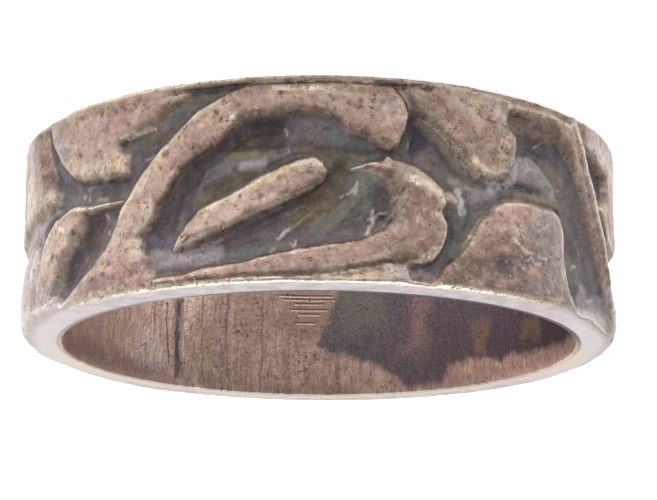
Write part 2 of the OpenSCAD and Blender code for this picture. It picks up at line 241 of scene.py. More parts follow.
# Long soft ridges (above 0) and valleys (below 0): rise, half width, then a run of angles and heights
STROKES = [
    (0.24, 0.6, [(22, 4.0), (17, 3.3), (12, 2.95), (8, 2.7)]),
    (-0.24, 0.36, [(28.5, 4.6), (26.4, 3.6), (22, 2.85), (17, 2.3), (12, 1.75), (8, 1.7)]),
    (-0.1, 0.09, [(25, 4.55), (22, 4.22), (18, 3.9), (13, 3.46), (8, 2.95), (4, 2.62), (0, 2.6)]),
    (0.14, 0.07, [(9, 2.85), (5, 2.52), (1, 2.45), (-2, 2.6)]),
    (-0.18, 0.07, [(1, 2.42), (-9, 2.5), (-13, 2.6)]),
    (-0.26, 0.34, [(24, 5.55), (18, 5.25), (12, 4.9), (7, 4.55), (3, 4.15), (-1, 3.6), (-3.5, 3.1)]),
    (0.25, 0.08, [(-5.4, 3.12), (-9, 2.9), (-12, 2.7)]),
    (0.1, 0.05, [(7.2, 5.36), (5.2, 5.1)]),
    (0.08, 0.05, [(5, 5.0), (2, 4.55), (0, 4.3)]),
    (-0.3, 0.34, [(45, 4.1), (48.5, 4.6), (52, 5.2), (55, 5.8)]),
    (-0.26, 0.3, [(-16.6, 1.4), (-18.6, 1.8), (-17, 2.3)]),
    (-0.22, 0.2, [(-23.6, 4.5), (-23.8, 5.2), (-22, 5.9), (-19, 6.2)]),
    (-0.2, 0.06, [(-35.2, 3.15), (-39, 3.04), (-42.5, 3.13)]),
    (0.14, 0.06, [(-30, 3.12), (-34, 3.1)]),
    (0.1, 0.06, [(-29, 3.3), (-34, 3.22)]),
    (-0.16, 0.08, [(-37, 0.6), (-44, 0.48)]),
    (0.1, 0.08, [(-37, 0.44), (-41, 0.42), (-46, 0.34), (-49, 0.4), (-54, 0.36)]),
    (-0.2, 0.07, [(50, 2.68), (44, 2.82), (38.5, 2.93)]),
    (-0.18, 0.07, [(31, 6.64), (12, 6.61), (2, 6.56), (-4, 6.42), (-8, 6.3), (-12, 6.13), (-15, 6.08)]),
    (-0.3, 0.1, [(27, 0.3), (20, 0.3), (14, 0.27), (0, 0.24), (-10, 0.25), (-20, 0.3)]),
    (-0.22, 0.3, [(66, 0.3), (64, 1.3), (60, 2.2)]),
    (0.14, 0.1, [(-49.6, 3.4), (-51.4, 3.75), (-51.8, 4.6)]),
    (0.08, 0.05, [(-37, 5.0), (-38.4, 5.14), (-40.8, 5.24)]),
]

# Small pits: their depth as a share of RELIEF_H, their length for their width, their lean in
# degrees, how steep they are and how much rust they hold, then angle, height and half width
PIT_DEPTH = 0.14
PIT_LENGTH = 1.3
PIT_LEAN = 20
PIT_STEEP = 1.6
PIT_STAIN = 0.8
PITS = [
    (28, 2.32, 0.16), (18.3, 1.18, 0.1), (17, 0.9, 0.07), (14.8, 0.86, 0.07), (14.2, 1, 0.06),
    (17.4, 1.42, 0.08), (16.2, 1.46, 0.07), (6.9, 0.66, 0.09), (6, 0.64, 0.06), (9.8, 0.95, 0.05),
    (23.8, 1.9, 0.06), (25.4, 1.86, 0.06), (26.8, 2.9, 0.05), (13.8, 3.98, 0.08), (10, 4.06, 0.07),
    (5.6, 3.9, 0.07), (4.3, 4.02, 0.06), (5.8, 3.4, 0.06), (24.4, 5.18, 0.07), (23.2, 5.2, 0.06),
    (34.8, 6.25, 0.07), (41.5, 6.05, 0.07), (44, 6.1, 0.07), (40, 5.72, 0.08), (41.6, 5.66, 0.05),
    (50, 0.64, 0.07), (43, 0.55, 0.08), (39.4, 0.6, 0.06), (37.4, 0.55, 0.09), (43.4, 1.82, 0.07),
    (49, 1.72, 0.07), (32, 0.7, 0.06), (36.4, 1.12, 0.07), (-7, 0.9, 0.08), (-9.4, 0.7, 0.07),
    (-13, 0.76, 0.07), (-9.9, 1.18, 0.05), (-5.2, 0.98, 0.04), (-25.4, 0.54, 0.07), (-29.4, 0.74, 0.08),
    (-30, 0.94, 0.06), (-31.6, 1, 0.06), (-32.6, 0.5, 0.06), (-23, 1, 0.05), (-16.2, 3.2, 0.06),
    (-18, 3.8, 0.05), (-21.4, 3.9, 0.06), (-42.6, 4.62, 0.06), (-25.6, 5.9, 0.05), (57.6, 4.9, 0.08),
    (51, 4.3, 0.08), (-6.5, 4.6, 0.05), (15.3, 3.1, 0.09),
]


def rgb(red, green, blue):
    """Linear colour of an 0 to 255 sRGB one."""
    def linear(v):
        v /= 255
        return v / 12.92 if v <= 0.04045 else ((v + 0.055) / 1.055) ** 2.4
    return (linear(red), linear(green), linear(blue), 1.0)


COLOURS = {
    "light_tan": rgb(184, 165, 151),
    "lilac_pale": rgb(204, 193, 190),
    "moss_light": rgb(150, 142, 114),
    "wine": rgb(86, 68, 68),
    "wine_light": rgb(130, 102, 98),
    "blue_slate": rgb(100, 101, 104),
    "green_slate": rgb(106, 111, 105),
    "sage": rgb(110, 108, 99),
    "olive_brown": rgb(84, 74, 56),
    "olive_tan": rgb(142, 128, 104),
    "rim_lit_side": rgb(222, 213, 214),
    "rim_cream": rgb(222, 212, 184),
    "blue_violet": rgb(104, 97, 116),
    "blue_violet_dark": rgb(66, 62, 80),
    "tan": rgb(168, 146, 132),
    "sienna": rgb(156, 130, 116),
    "gold": rgb(190, 170, 142),
    "mauve_tan": rgb(150, 128, 119),
    "umber": rgb(142, 118, 109),
    "mauve": rgb(126, 105, 104),
    "mauve_dark": rgb(98, 86, 88),
    "brown": rgb(122, 96, 88),
    "rust": rgb(92, 64, 56),
    "ochre": rgb(138, 112, 82),
    "rust_black": rgb(78, 62, 56),
    "black_brown": rgb(56, 48, 45),
    "blue_black": rgb(74, 68, 76),
    "violet": rgb(82, 72, 80),
    "lilac_dark": rgb(108, 97, 102),
    "lilac_grey": rgb(152, 143, 146),
    "lilac": rgb(180, 168, 170),
    "slate": rgb(103, 97, 98),
    "grey": rgb(110, 102, 97),
    "light_grey": rgb(152, 144, 137),
    "pad_grey": rgb(130, 123, 119),
    "warm_grey": rgb(104, 94, 94),
    "green_grey": rgb(108, 105, 96),
    "grey_olive": rgb(124, 115, 105),
    "olive": rgb(96, 86, 66),
    "pale": rgb(206, 196, 188),
    "cream": rgb(222, 208, 188),
    "worn": rgb(216, 202, 188),
    "blush": rgb(174, 142, 133),
    "moss": rgb(118, 114, 88),
    "haze": rgb(140, 128, 142),
    "dirt_and_shade": rgb(46, 38, 40),
    "bore_edge_shade": rgb(54, 44, 66),
    "rim": rgb(212, 202, 203),
    "rim_shade": rgb(192, 182, 184),
    "edge_tan": rgb(170, 154, 138),
    "bore": rgb(196, 172, 157),
    "bore_pink": rgb(192, 165, 160),
    "bore_violet": rgb(86, 78, 98),
    "bore_brown": rgb(154, 127, 116),
    "bore_stain": rgb(80, 82, 92),
    "bore_mauve": rgb(132, 110, 106),
    "seam": rgb(138, 129, 129),
}

# Edges brightened most, partly by wear and partly by painted highlight: strength, half width, then a run of
# angles and heights
WORN_AND_LIT_EDGES = [
    (0.9, 0.16, [(37.4, 4.0), (35.4, 3.46), (33, 2.78), (30, 2.2), (26, 1.6), (22, 1.08), (18, 0.74)]),
    (0.6, 0.08, [(27, 5.56), (21, 5.18), (16, 4.9), (11, 4.54), (6, 4.18), (1, 3.76)]),
    (0.8, 0.2, [(20, 4.26), (13, 3.7), (9, 3.3)]),
    (0.8, 0.22, [(4.5, 2.95), (0, 2.9)]),
    (0.7, 0.08, [
        (-5.5, 3.1), (-8, 2.94), (-10.6, 2.86), (-12, 2.7), (-17, 2.9), (-19.5, 3.14), (-22.6, 3.6),
    ]),
    (0.8, 0.26, [(-16, 3.3), (-19, 3.5), (-22, 3.9)]),
    (0.8, 0.12, [(-23.1, 4.75), (-22.7, 5.1), (-21.4, 5.6), (-20.2, 5.9), (-15, 6.1)]),
    (0.5, 0.08, [(22, 6.42), (12, 6.14), (0, 5.72), (-6, 5.5)]),
    (0.8, 0.1, [(-18.8, 1.3), (-21.8, 1.74), (-24.2, 2.08), (-27, 2.5), (-29.2, 2.98)]),
    (0.7, 0.26, [(-28, 2.4), (-32, 2.9)]),
    (0.7, 0.08, [
        (-26.2, 5.36), (-27.9, 4.9), (-29.6, 4.4), (-31.6, 4.1), (-35, 3.74), (-40, 3.63), (-48, 3.6),
    ]),
    (0.6, 0.12, [(-49.9, 4), (-50, 5), (-51.3, 5.8), (-54, 6.45), (-57.6, 6.72)]),
    (1.0, 0.16, [(-55, 0.25), (-57.6, 1.1), (-59.6, 1.75), (-62.6, 2.55), (-66.6, 3.56), (-70.4, 4.4)]),
    (0.8, 0.14, [(60.6, 0.4), (59.6, 0.95), (57.4, 1.42), (54.4, 1.98), (51.6, 2.42)]),
    (0.6, 0.06, [(50, 2.57), (44, 2.7), (38, 2.82)]),
    (0.8, 0.2, [(38, 1.55), (31, 1.34)]),
    (0.7, 0.07, [(39, 4.5), (41, 4.95), (45, 5.52), (49, 6.0), (53, 6.4)]),
    (0.9, 0.16, [(42, 3.58), (52, 3.46), (58, 3.68), (61, 4.1), (63.6, 4.6), (64.8, 5.2)]),
    (0.9, 0.14, [(68, 6.75), (62, 6.5), (57, 6.25)]),
    (0.6, 0.14, [(60, 6.74), (30, 6.74), (0, 6.72), (-20, 6.74), (-60, 6.76)]),
    (0.5, 0.1, [(60, 0.1), (24, 0.14), (12, 0.16), (-20, 0.14), (-34, 0.3), (-56, 0.3)]),
    (0.7, 0.16, [(8, 0.5), (-2, 0.55)]),
]

# Stains and tarnish: how sharp their edges are, then colour, strength, half width in mm, and a run
# of angles and heights. These lie on the raised metal.
STAIN_EDGE = 2.2
# Level that stands for the stain's colour where there is no stain
BARE_TINT = 0.3
METAL_STAINS = [
    # The bar that arches over the middle, and its lobe
    ("tan", 0.8, 0.5, [(44, 5.9), (37, 4.9), (34, 3.8), (31, 2.9), (27, 2.1), (22, 1.5)]),
    ("gold", 0.6, 0.22, [(35.8, 3.6), (32.6, 2.8), (29.2, 2.15), (25.4, 1.6), (22, 1.2)]),
    ("light_tan", 0.7, 0.3, [(34, 3.4), (31.6, 2.9), (29.6, 2.56)]),
    ("cream", 0.5, 0.14, [(29.5, 2.2), (29, 2.5), (27.6, 2.06)]),
    ("umber", 0.2, 0.42, [(15, 0.9), (8, 0.85), (0, 0.9), (-4, 1.0)]),
    ("grey_olive", 0.6, 0.12, [(20.6, 0.86), (17.6, 0.62), (15, 0.48)]),
    ("ochre", 0.55, 0.16, [(14, 0.5), (6, 0.42), (-4, 0.46), (-12, 0.52)]),
    ("gold", 0.4, 0.1, [(9, 0.56), (-2, 0.54)]),
    ("blush", 0.7, 0.34, [(28, 3.4), (26.4, 2.9)]),
    ("mauve_tan", 0.85, 0.4, [(25.4, 2.5), (22, 1.9), (19.6, 1.5)]),
    ("wine_light", 0.6, 0.14, [(29.5, 3.95), (27.2, 3.5), (24.8, 2.95), (21.6, 2.48), (18, 2.2), (16, 1.8)]),
    ("gold", 0.5, 0.24, [(20.6, 1.5), (18, 1.25)]),
    ("sienna", 0.7, 0.34, [(14, 1.1), (8, 1.1), (0, 1.12)]),
    ("sienna", 0.6, 0.4, [(-5, 1.0), (-8, 1.5), (-11, 1.9)]),
    ("wine_light", 0.6, 0.26, [(-3, 1.36), (-5.4, 1.72), (-7.4, 1.9)]),
    ("brown", 0.4, 0.14, [(-2, 0.86), (-4.4, 0.94), (-6.6, 1.2)]),
    ("gold", 0.6, 0.2, [(-8, 0.9), (-10.6, 1.2), (-13.4, 1.3)]),
    ("haze", 0.4, 0.3, [(-11, 0.9), (-13, 1.1)]),
    ("ochre", 0.55, 0.2, [(-9.6, 1.9), (-12.6, 2.2)]),
    ("blush", 0.5, 0.24, [(33, 3.66), (30.4, 3.8)]),
    ("ochre", 0.2, 0.3, [(33.6, 4.0), (32.6, 4.5)]),
    ("light_tan", 0.75, 0.28, [(31.4, 3.9), (32.2, 4.5), (33, 5.0)]),
    ("light_tan", 0.6, 0.3, [(37.6, 4.3), (38.6, 4.9)]),
    ("mauve", 0.8, 0.36, [(31.5, 5.9), (34, 6.2), (40, 6.24), (47, 6.35)]),
    ("blush", 0.5, 0.26, [(42, 5.8), (36, 5.9)]),
    ("ochre", 0.4, 0.12, [(46, 6.44), (38, 6.5), (33, 6.5)]),
    # The tongue
    ("tan", 0.85, 0.4, [(21, 4.75), (13, 4.1), (6, 3.5)]),
    ("gold", 0.75, 0.22, [(22, 4.5), (14, 3.86), (8, 3.3), (5, 3.04)]),
    ("cream", 0.4, 0.16, [(15, 4.0), (12.6, 4.0)]),
    ("blush", 0.5, 0.2, [(20, 4.98), (12, 4.4), (7, 4.0)]),
    ("light_tan", 0.7, 0.2, [(22.6, 5.1), (20, 5.0), (14, 4.5)]),
    ("mauve_tan", 0.8, 0.34, [(6.6, 3.9), (3, 3.5), (-0.4, 3.2)]),
    ("umber", 0.7, 0.2, [(4.4, 3.96), (1.4, 3.64)]),
    ("light_tan", 0.7, 0.14, [(3, 2.94), (0.4, 2.94)]),
    ("rust", 0.55, 0.13, [(25.6, 5.14), (23.4, 5.16)]),
    # The leaf and the bar that runs from it
    ("mauve_tan", 0.8, 0.9, [(-15, 3.6), (-17, 4.4), (-15, 5.2)]),
    ("grey_olive", 0.7, 0.3, [(-13.6, 3.0), (-14, 4.2), (-13.4, 4.8)]),
    ("light_tan", 0.7, 0.18, [(-15, 3.3), (-18, 3.44)]),
    ("gold", 0.5, 0.2, [(-17.6, 3.2), (-20.4, 3.7), (-21.8, 4.1)]),
    ("wine_light", 0.8, 0.34, [(-15.4, 3.7), (-18, 4.1), (-19.4, 4.6)]),
    ("brown", 0.55, 0.3, [(-16.6, 4.9), (-15, 4.4)]),
    ("sienna", 0.7, 0.3, [(-19.6, 5.0), (-17, 5.1)]),
    ("ochre", 0.5, 0.24, [(-12, 5.3), (-15, 5.6)]),
    ("brown", 0.75, 0.24, [(-20, 5.3), (-18, 5.56), (-15, 5.9), (-12.5, 5.98)]),
    ("umber", 0.85, 0.4, [(-12, 5.5), (-6, 5.8), (2, 6.1), (12, 6.35), (22, 6.5)]),
    ("blush", 0.5, 0.26, [(4, 6.1), (-3, 5.9), (-8, 5.7)]),
    ("ochre", 0.45, 0.14, [(-2, 5.6), (-6, 5.5), (-9, 5.42)]),
    ("gold", 0.75, 0.18, [(-20.2, 4.5), (-22.8, 4.6)]),
    ("light_tan", 0.6, 0.14, [(-22.4, 4.5), (-20.6, 4.4)]),
    ("mauve", 0.5, 0.24, [(-21.6, 5.2), (-20.6, 4.9)]),
    ("lilac_grey", 0.8, 0.13, [(-22.9, 5.05), (-21.8, 5.55), (-20.4, 5.88)]),
    ("blush", 0.5, 0.2, [(26, 6.5), (16, 6.4)]),
    ("lilac", 0.9, 0.26, [(-12.6, 6.4), (-16, 6.34), (-16, 6.7)]),
    ("gold", 0.6, 0.2, [(-4, 6.6), (-11, 6.44)]),
    # The facet beside the leaf, and the upper right pad with its fragments
    ("light_grey", 0.92, 0.2, [(-23.4, 3.74), (-25.4, 3.88)]),
    ("sienna", 0.7, 0.6, [(-20, 0.6), (-26, 1.5), (-31, 2.4)]),
    ("umber", 0.85, 0.36, [(-20.6, 0.7), (-24, 1.1), (-26, 1.5)]),
    ("grey_olive", 0.6, 0.26, [(-16, 0.5), (-18.6, 0.9), (-21, 1.3)]),
    ("blush", 0.5, 0.3, [(-23, 1.5), (-30, 2.0)]),
    ("gold", 0.6, 0.22, [(-27.6, 0.5), (-29.6, 0.75)]),
    ("blush", 0.8, 0.24, [(-30.4, 0.7), (-32.6, 0.8)]),
    ("grey_olive", 0.5, 0.3, [(-27, 1.7), (-29.4, 2.1)]),
    ("ochre", 0.5, 0.2, [(-32, 2.0), (-33.4, 2.3)]),
    ("gold", 0.6, 0.2, [(-28.6, 2.5), (-32.6, 2.7)]),
    ("lilac", 0.85, 0.24, [(-33, 0.6), (-34.6, 0.8)]),
    ("light_grey", 0.8, 0.2, [(-34.2, 1.2), (-36, 1.0)]),
    ("gold", 0.6, 0.16, [(-35.6, 1.5), (-35.8, 1.7)]),
    ("moss_light", 0.8, 0.2, [(-34, 2.0), (-35, 2.3)]),
    ("light_grey", 0.9, 0.26, [(-37.6, 1.7), (-37.4, 2.2), (-35.6, 2.7)]),
    # The flank of the big groove and the ridge
    ("gold", 0.85, 0.12, [(-36, 0.34), (-41, 0.38), (-46, 0.32), (-52, 0.36)]),
    ("wine_light", 0.9, 0.16, [(-36.4, 0.62), (-44, 0.62)]),
    ("light_tan", 0.5, 0.16, [(-44, 0.64), (-47, 0.7)]),
    ("light_tan", 0.5, 0.2, [(-54.6, 0.8), (-56.6, 1.1)]),
    ("mauve_tan", 0.85, 0.34, [(-46, 0.7), (-51, 0.9), (-54, 1.4), (-56, 2.0)]),
    ("umber", 0.75, 0.3, [(-49.6, 0.95), (-52.4, 1.4), (-53, 1.8)]),
    ("cream", 0.5, 0.1, [(-51.4, 0.4), (-53.6, 0.46)]),
    ("mauve_tan", 0.9, 0.6, [(-59.6, 2.6), (-63, 3.3), (-66, 4.1), (-70, 5.0)]),
    ("lilac_grey", 0.7, 0.24, [(-58.6, 2.3), (-61, 2.9)]),
    ("mauve", 0.5, 0.24, [(-60.6, 3.5), (-62.6, 4.2)]),
    ("light_tan", 0.85, 0.3, [(-54.6, 0.5), (-56.8, 1.3), (-58.2, 2.0)]),
    ("lilac", 0.9, 0.8, [(-72, 5.6), (-77, 6.2), (-86, 6.4)]),
    ("lilac_pale", 0.95, 0.17, [(-58.4, 1.1), (-59.6, 1.75), (-62.9, 2.6), (-66.8, 3.6), (-70.6, 4.5)]),
    ("lilac_pale", 0.7, 0.6, [(-62, 0.5), (-74, 0.7)]),
    ("mauve", 0.7, 0.6, [(-76, 1.8), (-78, 3.4)]),
    ("mauve_tan", 0.6, 0.3, [(-73, 2.4), (-74, 3.4)]),
    ("mauve", 0.6, 0.34, [(-71.6, 2.1), (-72, 3.1)]),
    # The lower right pad
    ("sienna", 0.8, 0.4, [(-29.6, 4.9), (-32, 4.4), (-36, 4.1), (-41, 3.9)]),
    ("light_tan", 0.7, 0.2, [(-33, 3.94), (-38, 3.76), (-42, 3.78)]),
    ("blush", 0.6, 0.26, [(-34, 4.2), (-40, 4.0)]),
    ("wine", 0.75, 0.56, [(-22.4, 6.4), (-27, 6.0), (-31.4, 5.9)]),
    ("wine_light", 0.7, 0.3, [(-28, 5.5), (-32, 5.1), (-36, 4.8)]),
    ("gold", 0.6, 0.12, [(-24.4, 5.76), (-27, 5.4), (-29.4, 4.7)]),
    ("pad_grey", 0.95, 0.66, [(-45.6, 4.2), (-46.6, 5.0), (-46, 5.8)]),
    ("pad_grey", 0.9, 0.36, [(-41, 4.4), (-42.4, 5.0), (-42.4, 5.5)]),
    ("light_grey", 0.7, 0.3, [(-44, 4.1), (-47.6, 4.3), (-47.8, 5.2)]),
    ("mauve", 0.9, 0.4, [(-30, 6.3), (-36, 6.3), (-42, 6.3), (-47, 6.3)]),
    ("pad_grey", 0.8, 0.4, [(-42, 6.4), (-48, 6.1), (-52, 6.3)]),
    ("violet", 0.85, 0.44, [(-34, 5.7), (-38.4, 5.66)]),
    ("mauve", 0.9, 0.26, [(-38, 5.0), (-41, 5.1)]),
    ("violet", 0.8, 0.16, [(-35, 5.6), (-39.8, 5.62)]),
    ("violet", 0.7, 0.12, [(-39, 5.4), (-41, 5.6)]),
    ("lilac", 0.6, 0.16, [(-37, 4.5), (-38.4, 4.4)]),
    ("lilac", 0.5, 0.2, [(-45.6, 3.7), (-48.6, 3.8)]),
    ("light_tan", 0.6, 0.1, [(-26, 6.74), (-36, 6.74), (-46, 6.7), (-52, 6.66), (-55, 6.6)]),
    ("lilac", 0.7, 0.14, [(-50.4, 5.4), (-52, 6.0)]),
    # The left side
    ("mauve_tan", 0.7, 0.9, [(57, 0.9), (50, 1.4), (42, 1.5), (36, 0.9), (30, 0.6)]),
    ("lilac_grey", 0.7, 0.44, [(58.4, 0.7), (55, 1.4)]),
    ("light_tan", 0.6, 0.3, [(54, 1.9), (47, 2.3), (42, 2.3)]),
    ("gold", 0.7, 0.24, [(38.8, 2.3), (41.4, 2.5)]),
    ("light_grey", 0.55, 0.14, [(32, 1.26), (38, 1.42)]),
    ("ochre", 0.6, 0.13, [(32, 0.4), (40, 0.36), (50, 0.4), (56, 0.46)]),
    ("blush", 0.5, 0.3, [(39, 1.0), (31, 0.9)]),
    ("brown", 0.4, 0.12, [(50, 0.9), (47.6, 1.2)]),
    ("brown", 0.35, 0.1, [(50, 1.6), (48, 1.8)]),
    ("cream", 0.5, 0.1, [(27, 0.5), (29, 0.6), (25.6, 0.5)]),
    ("mauve", 0.85, 0.8, [(68, 0.6), (66, 1.4), (64, 2.2)]),
    ("brown", 0.6, 0.5, [(66, 0.9), (64, 1.7), (62.6, 2.1)]),
    ("moss_light", 0.35, 0.3, [(66, 2.0), (64, 2.6)]),
    ("warm_grey", 0.9, 0.7, [(76, 0.9), (78, 1.8), (78, 2.8)]),
    ("wine", 0.6, 0.2, [(62.6, 1.7), (60, 2.3)]),
    ("lilac", 0.5, 0.4, [(72, 0.4), (78, 0.8)]),
    ("lilac_grey", 0.9, 0.6, [(68, 5.0), (75, 5.2), (80, 5.9)]),
    ("mauve_tan", 0.7, 0.4, [(68, 5.8), (78, 6.2)]),
    ("lilac_grey", 0.6, 0.24, [(68, 4.2), (66.4, 4.4)]),
    ("lilac_grey", 0.85, 0.5, [(58, 6.5), (68, 6.3), (84, 6.3)]),
    ("lilac", 0.8, 0.3, [(58, 6.75), (68, 6.6), (84, 6.6)]),
    ("pale", 0.9, 0.16, [(66.6, 4.3), (67.8, 4.7), (69, 5.1)]),
    ("pale", 0.7, 0.1, [(74.6, 4.2), (75.6, 4.7)]),
    # The curl
    ("tan", 0.85, 0.6, [(53, 3.85), (58, 4.4), (61, 5.2)]),
    ("light_tan", 0.8, 0.26, [(56, 3.66), (60.4, 4.2), (63.4, 4.7)]),
    ("gold", 0.6, 0.22, [(58.6, 4.4), (61, 5.0)]),
    ("blush", 0.5, 0.24, [(54, 4.6), (57, 4.8)]),
    ("blush", 0.5, 0.16, [(63, 5.1), (60.6, 5.2)]),
    ("wine_light", 0.5, 0.2, [(51, 3.7), (47.6, 3.7)]),
    ("brown", 0.6, 0.1, [(57.6, 4.7), (55.4, 5.05)]),
    ("lilac_grey", 0.8, 0.36, [(56.4, 6.0), (60, 5.9), (66, 5.8)]),
    ("mauve_tan", 0.6, 0.3, [(64, 5.6), (60, 5.6)]),
    ("lilac", 0.9, 0.14, [(55, 6.3), (60, 6.36), (66, 6.66)]),
    ("mauve_tan", 0.6, 0.2, [(55, 6.6), (61, 6.7)]),
]
